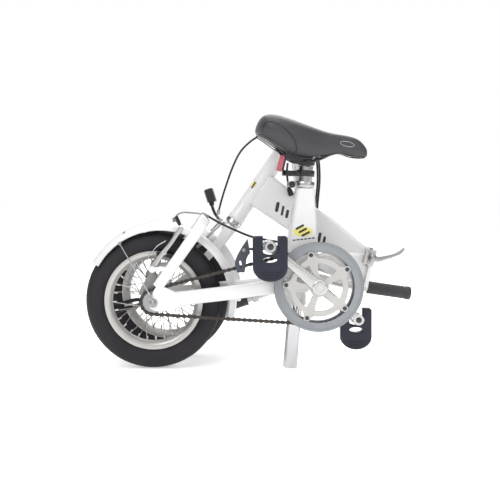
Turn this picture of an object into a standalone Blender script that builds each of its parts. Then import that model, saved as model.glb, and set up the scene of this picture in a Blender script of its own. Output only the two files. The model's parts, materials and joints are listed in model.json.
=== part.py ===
"""A 12-inch folding bicycle in its folded state: the front half lies beside the rear half.

Metres, +Z up, +X towards the riding direction of the rear half, -Y is its drive side.
Design coordinates put X = 0 at the rear axle and Z = 0 on the ground. Every moving group
hangs from an empty whose local Z is its joint's axis.
"""
import math

import bmesh
import bpy
from mathutils import Matrix, Vector

GAP = 0.0003  # between pieces that touch
ORIGIN = Vector((0.2540, 0.0748, 0.0))  # the middle of the whole object's footprint

# Wheels
WHEEL_R = 0.161
WHEEL_HALF = 0.025
RIM_R = 0.1155
SPOKES = 20
REAR_AXLE = Vector((0, 0, WHEEL_R))
FRONT_AXLE = Vector((0.020, 0, 0.1634))
SHOE_R = 0.1100
FENDER_R = 0.1835
FENDER_HALF = 0.032

# Drive train
BB = Vector((0.384, 0, 0.198))
CRANK_LENGTH = 0.152
CRANK_ANGLE = math.radians(140.4)
CHAIN_PITCH = 0.0127
CHAINRING_TEETH = 44
SPROCKET_TEETH = 14
CHAIN_Y = -0.043
GUARD_R = 0.104

# Seat post
POST_R = 0.01695
POST_FOOT = Vector((0.324, 0, 0.0014))
POST_LEAN = math.radians(4.62)
POST_LENGTH = 0.4800
POST_AXIS = Vector((math.sin(POST_LEAN), 0, math.cos(POST_LEAN)))

# Main hinge
HINGE = Vector((0.514, 0.040, 0.236))
HINGE_TILT = math.radians(14)
HINGE_AXIS = Vector((math.sin(HINGE_TILT), 0, math.cos(HINGE_TILT)))
HINGE_FACE = Vector((math.cos(HINGE_TILT), 0, -math.sin(HINGE_TILT)))
SPLAY = math.radians(-8)
PLATE_HALF_Y = 0.029
PLATE_HALF_LONG = 0.045
PLATE_THICK = 0.010

# Steering
CROWN = Vector((0.186, 0, 0.336))
STEER_AXIS = Vector((0.131, 0, 0.190)).normalized()
HEAD_TUBE_LOW, HEAD_TUBE_HIGH = 0.012, 0.225
POST_TOP_FOLDED = Vector((0.350, 0.030, 0.530))
BAR_CENTRE_FOLDED = Vector((0.372, 0.101, 0.192))
BAR_YAW = 0.15  # how far the folded bar runs away from the frame for each metre along it
BAR_HALF = 0.270
BAR_DROP = math.radians(14)


# ---------------------------------------------------------------- frames of reference
def about(point, axis, angle):
    """A turn by angle about the line through point along axis."""
    return Matrix.Translation(point) @ Matrix.Rotation(angle, 4, axis) @ Matrix.Translation(-point)


def columns(a, b):
    """The rotation whose first two columns are the unit vectors a and b."""
    return Matrix((a, b, a.cross(b))).transposed()


def handlepost_fold():
    """The turn that takes the riding handlepost to its folded place, as (hinge point, axis, angle, foot)."""
    down = (BAR_CENTRE_FOLDED - POST_TOP_FOLDED).normalized()
    length = (BAR_CENTRE_FOLDED - POST_TOP_FOLDED).length
    across = Vector((1, BAR_YAW, -(down.x + BAR_YAW * down.y) / down.z)).normalized()
    turn = columns(down, across) @ columns(STEER_AXIS, Vector((0, -1, 0))).transposed()
    axis, angle = turn.to_quaternion().to_axis_angle()
    rise = axis.dot(BAR_CENTRE_FOLDED - CROWN) / axis.dot(STEER_AXIS)
    riding_centre = CROWN + STEER_AXIS * rise
    foot = CROWN + STEER_AXIS * (rise - length)
    step = BAR_CENTRE_FOLDED - riding_centre
    point = (BAR_CENTRE_FOLDED + riding_centre) / 2 + axis.cross(step) / (2 * math.tan(angle / 2))
    point = point + axis * axis.dot(foot - point)
    return point, axis, angle, foot, length


POST_HINGE, POST_HINGE_AXIS, POST_HINGE_ANGLE, POST_BASE, POST_RISE = handlepost_fold()
POST_START = 0.025  # where the handlepost's tube begins above its foot
STEM_TOP = (POST_BASE - CROWN).dot(STEER_AXIS) + POST_START - 0.002
REAR = Matrix.Translation(-ORIGIN)
FRONT = REAR @ Matrix.Translation(HINGE) @ Matrix.Rotation(SPLAY, 4, HINGE_AXIS) @ Matrix.Translation(
    Vector((-HINGE.x, HINGE.y, -HINGE.z))
)
BAR = FRONT @ about(POST_HINGE, POST_HINGE_AXIS, POST_HINGE_ANGLE)

GROUPS = {}


def group(name, frame, point=(0, 0, 0), axis=(0, 0, 1), parent=None):
    """An empty on a joint's axis, which carries the pieces that move together."""
    empty = bpy.data.objects.new("group_" + name, None)
    bpy.context.scene.collection.objects.link(empty)
    turn = frame.to_3x3() @ Vector((0, 0, 1)).rotation_difference(Vector(axis)).to_matrix()
    world = Matrix.Translation(frame @ Vector(point)) @ turn.to_4x4()
    empty.matrix_basis = world
    if parent:
        empty.parent = GROUPS[parent][0]
        empty.matrix_parent_inverse = GROUPS[parent][1].inverted()
    empty.empty_display_size = 0.02
    GROUPS[name] = (empty, world, frame)


# ---------------------------------------------------------------- materials
def finish(name, colour, roughness, metallic=0.0):
    material = bpy.data.materials.new(name)
    material.use_nodes = True
    shader = material.node_tree.nodes["Principled BSDF"]
    shader.inputs["Base Color"].default_value = (*colour, 1)
    shader.inputs["Roughness"].default_value = roughness
    shader.inputs["Metallic"].default_value = metallic
    return material


# ---------------------------------------------------------------- meshes
def piece(name, carrier, material, mesh, smooth=True):
    """Links a mesh given in its group's design coordinates as one object of that group."""
    data = bpy.data.meshes.new(name)
    bmesh.ops.recalc_face_normals(mesh, faces=mesh.faces)
    mesh.to_mesh(data)
    mesh.free()
    if smooth:
        data.shade_smooth()
        data.set_sharp_from_angle(angle=math.radians(35))
    obj = bpy.data.objects.new(name, data)
    bpy.context.scene.collection.objects.link(obj)
    empty, world, frame = GROUPS[carrier]
    obj.parent = empty
    obj.matrix_parent_inverse = world.inverted() @ frame
    if material:
        data.materials.append(material)
    return obj


def combine(target, carrier, mesh, operation):
    """Joins a mesh to the target, or cuts it away."""
    helper = piece(f"{target.name}_{operation.lower()}_{len(target.modifiers)}", carrier, None, mesh)
    helper.hide_render = True
    helper.display_type = "WIRE"
    modifier = target.modifiers.new(helper.name, "BOOLEAN")
    modifier.operation = operation
    modifier.object = helper


def join(target, carrier, mesh):
    combine(target, carrier, mesh, "UNION")


def cut(target, carrier, mesh):
    combine(target, carrier, mesh, "DIFFERENCE")


def bridged(rings, closed=False):
    """A closed surface through rings of points; the two end rings become caps unless it closes on itself."""
    mesh = bmesh.new()
    loops = [[mesh.verts.new(p) for p in ring] for ring in rings]
    count = len(loops[0])
    pairs = list(zip(loops, loops[1:]))
    if closed:
        pairs.append((loops[-1], loops[0]))
    for low, high in pairs:
        for i in range(count):
            j = (i + 1) % count
            mesh.faces.new((low[i], low[j], high[j], high[i]))
    if not closed:
        mesh.faces.new(loops[0])
        mesh.faces.new(list(reversed(loops[-1])))
    return mesh


def side_vectors(axis, up=None):
    """Two unit vectors square to axis, the second as near to up as it can be."""
    axis = Vector(axis).normalized()
    up = Vector(up) if up else (Vector((0, 0, 1)) if abs(axis.z) < 0.9 else Vector((1, 0, 0)))
    side = axis.cross(up).normalized()
    return side, side.cross(axis)


def circle(centre, axis, radius, sides):
    side, up = side_vectors(axis)
    steps = [2 * math.pi * k / sides for k in range(sides)]
    return [Vector(centre) + (side * math.cos(a) + up * math.sin(a)) * radius for a in steps]


def turned(origin, axis, profile, sides=12):
    """A solid of revolution with flat ends: profile lists (distance along axis, radius)."""
    axis = Vector(axis).normalized()
    return bridged([circle(Vector(origin) + axis * t, axis, r, sides) for t, r in profile])


def rod(start, end, radius, sides=10):
    start, end = Vector(start), Vector(end)
    return turned(start, end - start, [(0, radius), ((end - start).length, radius)], sides)


def turned_ring(origin, axis, profile, steps=32, low=0.0, high=360.0, zero=(1, 0, 0)):
    """A closed profile of (distance along axis, radius) turned about axis, right round or from low to high degrees."""
    axis = Vector(axis).normalized()
    zero = (Vector(zero) - axis * axis.dot(Vector(zero))).normalized()
    other = axis.cross(zero)
    whole = high - low > 359.9
    angles = [math.radians(low + (high - low) * k / steps) for k in range(steps if whole else steps + 1)]
    rings = []
    for a in angles:
        out = zero * math.cos(a) + other * math.sin(a)
        rings.append([Vector(origin) + axis * t + out * r for t, r in profile])
    return bridged(rings, closed=whole)


def smooth_path(points, count):
    """count + 1 points on a Catmull-Rom curve through the given ones."""
    points = [Vector(p) for p in points]
    ends = [points[0] * 2 - points[1]] + points + [points[-1] * 2 - points[-2]]
    found = []
    for k in range(count + 1):
        t = k / count * (len(points) - 1)
        i = min(int(t), len(points) - 2)
        t -= i
        a, b, c, d = ends[i : i + 4]
        found.append(
            ((b * 2) + (c - a) * t + (a * 2 - b * 5 + c * 4 - d) * t**2 + (b * 3 - a - c * 3 + d) * t**3) / 2
        )
    return found


def swept(path, half_sizes, up=(0, 1, 0), corners=8):
    """A tube along path. half_sizes gives (half width across, half height towards up) at each point."""
    path = [Vector(p) for p in path]
    rings = []
    for i, p in enumerate(path):
        tangent = (path[min(i + 1, len(path) - 1)] - path[max(i - 1, 0)]).normalized()
        side, high = side_vectors(tangent, up)
        a, b = half_sizes[i] if isinstance(half_sizes, list) else half_sizes
        if corners == 8:
            c = min(a, b) * 0.35
            flat = [(a, b - c), (a - c, b), (c - a, b), (-a, b - c), (-a, c - b), (c - a, -b), (a - c, -b), (a, c - b)]
        elif corners == 4:
            flat = [(a, b), (-a, b), (-a, -b), (a, -b)]
        else:
            turns = [2 * math.pi * k / corners for k in range(corners)]
            flat = [(a * math.cos(t), b * math.sin(t)) for t in turns]
        rings.append([p + side * s + high * t for s, t in flat])
    return bridged(rings)


def slab(outline, low, high, axis="Y"):
    """An outline of (x, z) points with thickness from low to high along Y."""
    return bridged([[Vector((x, y, z)) for x, z in outline] for y in (low, high)])


def block(centre, axes, halves):
    """A box from its centre, two of its unit directions and its three half sizes."""
    a, b = Vector(axes[0]), Vector(axes[1])
    c = a.cross(b)
    centre = Vector(centre)
    corners = ((1, 1), (-1, 1), (-1, -1), (1, -1))
    rings = [
        [centre + a * halves[0] * s + b * halves[1] * t + c * halves[2] * w for s, t in corners] for w in (-1, 1)
    ]
    return bridged(rings)


def box(low, high):
    low, high = Vector(low), Vector(high)
    return block((low + high) / 2, ((1, 0, 0), (0, 1, 0)), (high - low) / 2)


def cable(name, carrier, material, points, radius, count):
    """A cable as a curve with a round bevel and filled caps."""
    curve = bpy.data.curves.new(name, "CURVE")
    curve.dimensions = "3D"
    curve.bevel_depth = radius
    curve.bevel_resolution = 1
    curve.use_fill_caps = True
    spline = curve.splines.new("POLY")
    path = smooth_path(points, count)
    spline.points.add(len(path) - 1)
    for point, place in zip(spline.points, path):
        point.co = (*place, 1)
    obj = bpy.data.objects.new(name, curve)
    bpy.context.scene.collection.objects.link(obj)
    empty, world, frame = GROUPS[carrier]
    obj.parent = empty
    obj.matrix_parent_inverse = world.inverted() @ frame
    curve.materials.append(material)


# ---------------------------------------------------------------- wheels
def wheel(end, carrier, axle, mats):
    """Hub with spokes, rim and tyre of one wheel."""
    y = Vector((0, 1, 0))
    hub_profile = [
        (-0.034, 0.0055), (-0.034, 0.009), (-0.0275, 0.012), (-0.0275, 0.021), (-0.0245, 0.021), (-0.0225, 0.012),
        (0.0225, 0.012), (0.0245, 0.021), (0.0275, 0.021), (0.0275, 0.012), (0.034, 0.009), (0.034, 0.0055),
    ]
    hub = piece(f"{end}_hub", carrier, mats["silver"], turned_ring(axle, y, hub_profile, 12))
    spokes = bmesh.new()
    for k in range(SPOKES):
        a = 2 * math.pi * (k + 0.25) / SPOKES
        out = Vector((math.cos(a), 0, math.sin(a)))
        flange = 0.026 if k % 2 else -0.026
        start = Vector(axle) + out * 0.0195 + y * flange
        finish_at = Vector(axle) + out * 0.0962 + y * flange * 0.12
        one = swept([start, finish_at], (0.0010, 0.0010), up=(0, 1, 0), corners=4)
        data = bpy.data.meshes.new("spoke")
        one.to_mesh(data)
        one.free()
        spokes.from_mesh(data)
        bpy.data.meshes.remove(data)
    join(hub, carrier, spokes)
    rim = [(-0.0145, RIM_R), (-0.0145, 0.106), (-0.007, 0.0975), (0.007, 0.0975), (0.0145, 0.106), (0.0145, RIM_R)]
    piece(f"{end}_rim", carrier, mats["rim"], turned_ring(axle, y, rim, 36))
    seat = RIM_R + GAP
    tyre = [
        (-0.012, seat), (-0.0225, 0.126), (-WHEEL_HALF, 0.138), (-0.0185, 0.154), (0, WHEEL_R),
        (0.0185, 0.154), (WHEEL_HALF, 0.138), (0.0225, 0.126), (0.012, seat),
    ]
    piece(f"{end}_tyre", carrier, mats["tyre"], turned_ring(axle, y, tyre, 36))


def fender(name, carrier, centre, low, high, mats):
    half, r = FENDER_HALF, FENDER_R
    outer = [(-half, r - 0.017), (-half * 0.8, r - 0.006), (-half * 0.4, r - 0.001), (half * 0.4, r - 0.001)]
    outer += [(half * 0.8, r - 0.006), (half, r - 0.017)]
    inner = [(y * 0.95, radius - 0.002) for y, radius in reversed(outer)]
    piece(name, carrier, mats["paint"], turned_ring(centre, (0, -1, 0), outer + inner, 16, low, high))


# ---------------------------------------------------------------- rear frame
def post_point(height):
    """The point of the seat post's axis at a height above the ground."""
    return POST_FOOT + POST_AXIS * ((height - POST_FOOT.z) / POST_AXIS.z)


def hinge_edge(low, high):
    """Two (x, z) points 4 mm behind the hinge's mating plane, at two distances along its pin."""
    middle = HINGE - HINGE_FACE * 0.004
    return [((middle + HINGE_AXIS * t).x, (middle + HINGE_AXIS * t).z) for t in (low, high)]


def hinge_leaf(name, carrier, pin, outline, half_thick, knuckles, mats):
    """A frame tube with its hinge plate and knuckles. pin is the hinge pin's centre in the carrier's coordinates."""
    middle = Vector((pin.x, 0, pin.z))
    away = 1 if pin.y > 0 else -1
    tube = piece(name, carrier, mats["paint"], slab(outline, -half_thick, half_thick))
    plate_centre = middle - HINGE_FACE * (GAP + PLATE_THICK / 2)
    axes = (HINGE_AXIS, HINGE_FACE)
    join(tube, carrier, block(plate_centre, axes, (PLATE_HALF_LONG, PLATE_THICK / 2, PLATE_HALF_Y)))
    for low, high in knuckles:
        at = middle + HINGE_AXIS * (low + high) / 2
        web = at + Vector((0, away * 0.0325, 0)) - HINGE_FACE * 0.0050
        join(tube, carrier, block(web, axes, ((high - low) / 2 - GAP, 0.0042, 0.0075)))
        barrel = turned(pin, HINGE_AXIS, [(low, 0.0095), (high, 0.0095)], 12)
        join(tube, carrier, barrel)
    cut(tube, carrier, turned(pin, HINGE_AXIS, [(-0.06, 0.0048), (0.06, 0.0048)], 12))
    return tube


def rear_frame(mats):
    paint = mats["paint"]
    sections = [
        (0.150, 0.3110, 0.3605), (0.218, 0.3115, 0.3605), (0.240, 0.3140, 0.3900),
        (0.300, 0.3180, 0.3885), (0.360, 0.3280, 0.3850), (0.425, 0.3385, 0.3810),
    ]
    rings = []
    for z, back, front in sections:
        c, w = 0.008, 0.022
        flat = [(back, c - w), (back, w - c), (back + c, w), (front - c, w), (front, w - c), (front, c - w)]
        flat += [(front - c, -w), (back + c, -w)]
        rings.append([Vector((x, y, z)) for x, y in flat])
    tube = piece("seat_tube", "rear_frame", paint, bridged(rings))
    bore = turned(post_point(0.1), POST_AXIS, [(0, POST_R + 0.0006), (0.36, POST_R + 0.0006)], 16)
    cut(tube, "rear_frame", bore)

    shell = [(-0.034, 0.0100), (0.034, 0.0100), (0.034, 0.021), (-0.034, 0.021)]
    piece("bottom_bracket_shell", "rear_frame", paint, turned_ring(BB, (0, 1, 0), shell, 16))

    for side, name in ((-1, "right_chainstay"), (1, "left_chainstay")):
        path = [
            (-0.013, side * 0.0530, 0.1610), (0.020, side * 0.0530, 0.1630), (0.060, side * 0.0500, 0.1700),
            (0.190, side * 0.0450, 0.1845), (0.265, side * 0.0315, 0.1930), (0.3100, side * 0.0305, 0.1950),
            (0.3620, side * 0.0305, 0.1980),
        ]
        sizes = [(0.014, 0.0030), (0.022, 0.0030), (0.017, 0.0065), (0.016, 0.0072), (0.016, 0.0075)]
        sizes += [(0.016, 0.0075), (0.012, 0.0075)]
        stay = piece(name, "rear_frame", paint, swept(path, sizes))
        cut(stay, "rear_frame", rod((0, side * 0.04, WHEEL_R), (0, side * 0.06, WHEEL_R), 0.0055, 12))
        if side > 0:
            join(stay, "rear_frame", rod((-0.022, 0.0520, 0.150), (-0.022, 0.0700, 0.150), 0.0040, 8))
            join(stay, "rear_frame", box((-0.033, 0.0505, 0.1400), (-0.008, 0.0555, 0.1600)))

    stub = [(0.3925, 0.2330), (0.412, 0.2225), (0.440, 0.2080), *hinge_edge(-0.034, 0.034)]
    stub += [(0.440, 0.2740), (0.3925, 0.2680)]
    leaf = hinge_leaf("main_stub", "rear_frame", HINGE, stub, 0.020, [(-0.043, -0.0145), (0.0145, 0.043)], mats)
    latch_pad = HINGE - Vector((0, 0.0710, 0)) - HINGE_FACE * 0.011 + HINGE_AXIS * 0.026
    join(leaf, "rear_frame", block(latch_pad, (HINGE_AXIS, HINGE_FACE), (0.017, 0.009, 0.0052)))
    pin = [(-0.0475, 0.0075), (-0.0440, 0.0075), (-0.0440, 0.0042), (0.0440, 0.0042), (0.0440, 0.0075)]
    pin += [(0.0475, 0.0075)]
    piece("hinge_pin", "rear_frame", mats["steel"], turned(HINGE, HINGE_AXIS, pin, 12))
    return leaf


def brake_arch(mats):
    """The inverted U over the rear wheel that carries the brake and the fender."""
    path = [
        (0.0095, -0.0530, 0.1955), (0.060, -0.0525, 0.2660), (0.105, -0.0500, 0.3300), (0.1150, -0.0430, 0.3450),
        (0.1195, -0.0250, 0.3520), (0.1195, 0.0250, 0.3520), (0.1150, 0.0430, 0.3450), (0.105, 0.0500, 0.3300),
        (0.060, 0.0525, 0.2660), (0.0095, 0.0530, 0.1955),
    ]
    sizes = [(0.013, 0.0035)] + [(0.013, 0.0055)] * 2 + [(0.013, 0.0075)] * 4 + [(0.013, 0.0055)] * 2
    sizes += [(0.013, 0.0035)]
    rings = []
    lengthways = Vector((0.70, 0, -0.714)).normalized()
    for i, p in enumerate(path):
        tangent = (Vector(path[min(i + 1, 9)]) - Vector(path[max(i - 1, 0)])).normalized()
        inward = tangent.cross(lengthways).normalized()
        a, b = sizes[i]
        c = 0.002
        flat = [(a, b - c), (a - c, b), (c - a, b), (-a, b - c), (-a, c - b), (c - a, -b), (a - c, -b), (a, c - b)]
        rings.append([Vector(p) + lengthways * s + inward * t for s, t in flat])
    arch = piece("brake_arch", "rear_frame", mats["paint"], bridged(rings))
    for side in (-1, 1):
        join(arch, "rear_frame", block((0.020, side * 0.0530, 0.2400), ((1, 0, 0), (0, 1, 0)), (0.030, 0.0030, 0.010)))
        join(arch, "rear_frame", rod((-0.002, side * 0.0540, 0.2400), (-0.002, side * 0.0480, 0.2400), 0.0075, 10))


def rear_brake_arm(side, name, carrier, mats):
    """A long brake arm with its shoe. side is -1 for the drive side."""
    path = [(-0.002, 0.2380), (0.018, 0.2660), (0.040, 0.2960), (0.056, 0.3200), (0.066, 0.3330)]
    y = side * 0.0425
    sizes = [(0.0090, 0.0040), (0.0065, 0.0035), (0.0055, 0.0035), (0.0055, 0.0035), (0.0060, 0.0035)]
    arm = piece(name, carrier, mats["silver"], swept([(x, y, z) for x, z in path], sizes))
    shoe_at = (0.030, 0, 0.2660)
    join(arm, carrier, rod((0.026, y, 0.276), (0.026, side * 0.0200, 0.2720), 0.0032, 8))
    along = Vector((0.2660 - WHEEL_R, 0, -shoe_at[0])).normalized()
    out = Vector((0, 1, 0)).cross(along)
    join(arm, carrier, block((0.029, side * 0.0215, 0.2690), (along, out), (0.024, 0.0045, 0.0045)))


def drive_train(mats):
    y = Vector((0, 1, 0))
    ring_r = CHAINRING_TEETH * CHAIN_PITCH / (2 * math.pi)
    sprocket_r = SPROCKET_TEETH * CHAIN_PITCH / (2 * math.pi)
    under_chain = 0.0046

    def disc(inner, outer, low, high):
        return [(low, inner), (high, inner), (high, outer), (low, outer)]

    piece("freewheel", "freewheel", mats["steel"],
          turned_ring(REAR_AXLE, y, disc(0.0095, sprocket_r - under_chain, CHAIN_Y - 0.002, CHAIN_Y + 0.006), 20))
    piece("chainring", "crankset", mats["steel"],
          turned_ring(BB, y, disc(0.070, ring_r - under_chain, CHAIN_Y - 0.0015, CHAIN_Y + 0.0015), 40))
    piece("guard_ring", "crankset", mats["guard"],
          turned_ring(BB, y, disc(0.083, GUARD_R, -0.0572, -0.0542), 40))
    piece("bottom_bracket_axle", "crankset", mats["steel"], rod(BB - y * 0.0572, BB + y * 0.0572, 0.0085, 12))

    # The chain wraps the back of the sprocket and the front of the chainring, tangent to both.
    centres = BB - REAR_AXLE
    centres.y = 0
    slope = math.atan2(centres.z, centres.x)
    lean = math.acos((sprocket_r - ring_r) / centres.length)
    points = []
    for k in range(25):
        a = slope - lean + 2 * lean * k / 24
        points.append((BB.x + ring_r * math.cos(a), BB.z + ring_r * math.sin(a)))
    for k in range(13):
        a = slope + lean + 2 * (math.pi - lean) * k / 12
        points.append((REAR_AXLE.x + sprocket_r * math.cos(a), REAR_AXLE.z + sprocket_r * math.sin(a)))
    rings = []
    for i, (x, z) in enumerate(points):
        before, after = points[i - 1], points[(i + 1) % len(points)]
        out = Vector((after[1] - before[1], 0, before[0] - after[0])).normalized()
        rings.append([
            Vector((x, CHAIN_Y + w, z)) + out * h
            for h, w in ((-0.0038, -0.0033), (0.0038, -0.0033), (0.0038, 0.0033), (-0.0038, 0.0033))
        ])
    piece("chain", "rear_frame", mats["chain"], bridged(rings, closed=True), smooth=False)

    for side, name in ((-1, "right_crank"), (1, "left_crank")):
        angle = CRANK_ANGLE if side < 0 else CRANK_ANGLE + math.pi
        out = Vector((math.cos(angle), 0, math.sin(angle)))
        path = [BB + y * side * 0.0645, BB + out * 0.06 + y * side * 0.0660, BB + out * CRANK_LENGTH + y * side * 0.0665]
        crank = piece(name, "crankset", mats["alloy"], swept(path, [(0.0125, 0.0058), (0.0110, 0.0055), (0.0100, 0.0055)]))
        join(crank, "crankset", rod(BB + y * side * 0.0575, BB + y * side * 0.0740, 0.0180, 16))
        end = BB + out * CRANK_LENGTH
        join(crank, "crankset", rod(end + y * side * 0.0600, end + y * side * 0.0723, 0.0130, 14))
        if side < 0:
            for k in range(5):
                a = CRANK_ANGLE + math.radians(36 + 72 * k)
                arm = Vector((math.cos(a), 0, math.sin(a)))
                tip = [BB + arm * 0.012 - y * 0.0597, BB + arm * 0.050 - y * 0.0597, BB + arm * 0.0860 - y * 0.0597]
                join(crank, "crankset", swept(tip, [(0.0105, 0.0020), (0.0065, 0.0020), (0.0095, 0.0020)], corners=4))
        spindle_and_platform(side, end, mats)


def spindle_and_platform(side, end, mats):
    """A folding pedal: the platform hangs from a fore-and-aft pin at the end of its spindle."""
    word = "right" if side < 0 else "left"
    y = Vector((0, 1, 0))
    fold = end + y * side * 0.100
    spin = f"{word}_pedal_spindle"
    spindle = piece(spin, spin, mats["silver"], rod(end + y * side * 0.0726, fold, 0.0065, 10))
    join(spindle, spin, block(fold, ((1, 0, 0), (0, 1, 0)), (0.0155, 0.0085, 0.0085)))
    join(spindle, spin, rod(fold - Vector((0.030, 0, 0)), fold + Vector((0.030, 0, 0)), 0.0030, 8))
    outline = [(0.039, 0.020), (0.035, 0.024), (0.0170, 0.024), (0.0170, -0.032), (-0.0170, -0.032), (-0.0170, 0.024)]
    outline += [(-0.035, 0.024), (-0.039, 0.020)]
    outline += [(-0.039 * math.cos(a), -0.048 - 0.031 * math.sin(a)) for a in (math.pi * k / 8 for k in range(9))]
    shape = slab([(fold.x + x, fold.z + z) for x, z in outline], fold.y - 0.011, fold.y + 0.011)
    platform = piece(f"{word}_pedal", f"{word}_pedal", mats["pedal"], shape)
    bore = rod(fold - Vector((0.0305, 0, 0)), fold + Vector((0.0305, 0, 0)), 0.0036, 8)
    cut(platform, f"{word}_pedal", bore)


def seat_parts(mats):
    y = Vector((0, 1, 0))
    post = turned(POST_FOOT, POST_AXIS, [(0, POST_R), (POST_LENGTH - 0.0009, POST_R)], 16)
    piece("seat_post", "seat_post", mats["chrome"], post)
    top = post_point(0.4800)
    clamp = [(0.0003, 0.0130), (0.0008, 0.0195), (0.0140, 0.0190)]
    saddle_clamp = piece("saddle_clamp", "seat_post", mats["black"], turned(top, POST_AXIS, clamp, 12))
    join(saddle_clamp, "seat_post", rod(top + Vector((0.001, -0.024, 0.008)), top + Vector((0.001, 0.024, 0.008)), 0.0065, 8))

    # The saddle's sections from its back to its nose: x, underside, top, half width.
    sections = [
        (0.2425, 0.5560, 0.5700, 0.030), (0.2500, 0.5480, 0.5900, 0.056), (0.2650, 0.5400, 0.6040, 0.070),
        (0.2950, 0.5180, 0.6005, 0.078), (0.3300, 0.5010, 0.5885, 0.069), (0.3700, 0.4960, 0.5735, 0.048),
        (0.4100, 0.5030, 0.5590, 0.031), (0.4400, 0.5085, 0.5535, 0.026), (0.4700, 0.5000, 0.5490, 0.024),
        (0.4900, 0.4975, 0.5405, 0.021), (0.5070, 0.4985, 0.5180, 0.011),
    ]
    rings = []
    for x, low, high, half in sections:
        flat = [(1.0, 0.30), (0.86, 0.72), (0.45, 0.96), (-0.45, 0.96), (-0.86, 0.72), (-1.0, 0.30), (-0.62, 0), (0.62, 0)]
        rings.append([Vector((x, half * s, low + (high - low) * t)) for s, t in flat])
    piece("saddle", "seat_post", mats["saddle"], bridged(rings))

    height = 0.4615
    at = post_point(height)
    collar = [(-0.0035, POST_R + 0.0005), (0.0035, POST_R + 0.0005), (0.0035, 0.0215), (-0.0035, 0.0215)]
    bracket = piece("reflector_bracket", "seat_post", mats["black"], turned_ring(at, POST_AXIS, collar, 16))
    join(bracket, "seat_post", box((0.3070, -0.006, height - 0.0035), (0.3420, 0.006, height + 0.0032)))
    lens = block((0.3000, 0, 0.4850), (Vector((0.97, 0, -0.24)), y), (0.0065, 0.024, 0.0200))
    piece("rear_reflector", "seat_post", mats["red"], lens)

    clamp_at = post_point(0.4275)
    ring = [(0.0003, POST_R + 0.0006), (0.0145, POST_R + 0.0006), (0.0145, 0.0235), (0.0003, 0.0235)]
    collar = piece("seat_clamp", "rear_frame", mats["silver"], turned_ring(clamp_at, POST_AXIS, ring, 16))
    for side in (-1, 1):
        join(collar, "rear_frame", box((0.3200, side * 0.0085 - 0.0035, 0.4295), (0.3400, side * 0.0085 + 0.0035, 0.4405)))
    join(collar, "rear_frame", rod((0.3265, -0.0240, 0.4350), (0.3265, 0.0240, 0.4350), 0.0035, 8))
    lever = piece("seat_clamp_lever", "seat_clamp_lever", mats["black"],
                  swept([(0.3230, 0.0300, 0.4350), (0.345, 0.0310, 0.436), (0.372, 0.0295, 0.438)],
                        [(0.0065, 0.0040), (0.0050, 0.0030), (0.0045, 0.0025)]))
    return lever


def small_rear_parts(mats):
    for side, name in ((-1, "right_fender_stay"), (1, "left_fender_stay")):
        route = [(-0.0790, side * 0.0355, 0.2970), (-0.050, side * 0.050, 0.252), (-0.0060, side * 0.0600, 0.1790)]
        piece(name, "rear_frame", mats["silver"], swept(route, (0.0018, 0.0018), corners=6))
    axle = [(-0.0655, 0.0048), (-0.0640, 0.0090), (-0.0565, 0.0090), (-0.0565, 0.0048), (0.0565, 0.0048)]
    axle += [(0.0565, 0.0090), (0.0640, 0.0090), (0.0655, 0.0048)]
    piece("rear_axle", "rear_frame", mats["steel"], turned(REAR_AXLE, (0, 1, 0), axle, 12))

    leaf = [(0.2197, 0.3090), (0.1969, 0.2737), (0.1900, 0.2500), (0.1950, 0.2312), (0.2129, 0.2308)]
    leaf += [(0.2169, 0.2620), (0.2252, 0.2753)]
    guide = piece("chain_guide", "rear_frame", mats["dark"], slab(leaf, -0.0530, -0.0495))
    arm = [(0.2120, -0.0500, 0.2850), (0.250, -0.0430, 0.2850), (0.290, -0.0220, 0.2830), (0.3145, -0.0100, 0.2820)]
    join(guide, "rear_frame", swept(arm, (0.0045, 0.0030), up=(0, 0, 1), corners=4))

    cable("rear_brake_cable", "rear_frame", mats["rubber"],
          [(0.074, 0.0330, 0.3560), (0.082, 0.0200, 0.3640), (0.092, 0.0000, 0.3715), (0.110, -0.0150, 0.3740),
           (0.140, -0.0180, 0.3610), (0.1830, -0.0165, 0.3300), (0.2300, -0.0150, 0.3080), (0.3150, -0.0120, 0.2960)],
          0.0024, 26)
    pivot = (-0.022, 0, 0.150)
    stand = piece("kickstand", "kickstand", mats["black"],
                  turned_ring((pivot[0], 0.0600, pivot[2]), (0, 1, 0),
                              [(0, 0.0046), (0.008, 0.0046), (0.008, 0.011), (0, 0.011)], 12))
    slope = Vector((-0.96, 0, -0.28))
    start = Vector((pivot[0], 0.0645, pivot[2])) + slope * 0.0080
    leg = [start, start + slope * 0.020 + Vector((0, 0.006, 0)), start + slope * 0.118 + Vector((0, 0.009, 0))]
    join(stand, "kickstand", swept(leg, [(0.0060, 0.0036), (0.0055, 0.0050), (0.0055, 0.0050)]))
    across = Vector((0, 1, 0))
    join(stand, "kickstand", block(start + slope * 0.124 + across * 0.009, (slope, across), (0.011, 0.0075, 0.0095)))

    start = HINGE - Vector((0, 0.0795, 0)) + HINGE_AXIS * 0.026
    lever = [start - HINGE_FACE * 0.010 + Vector((0, -0.0045, 0)), start + Vector((0.022, -0.0050, 0.004))]
    lever += [start + Vector((0.052, -0.0050, 0.014)), start + Vector((0.064, -0.0050, 0.025))]
    handle = piece("frame_latch_lever", "frame_latch_lever", mats["silver"],
                   swept(lever, [(0.0065, 0.0035), (0.0045, 0.0028), (0.0035, 0.0025), (0.0030, 0.0022)]))
    join(handle, "frame_latch_lever",
         turned(lever[0] - HINGE_AXIS * 0.008, HINGE_AXIS, [(0, 0.0068), (0.016, 0.0068)], 10))


# ---------------------------------------------------------------- front half
def head_point(t):
    return CROWN + STEER_AXIS * t


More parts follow.
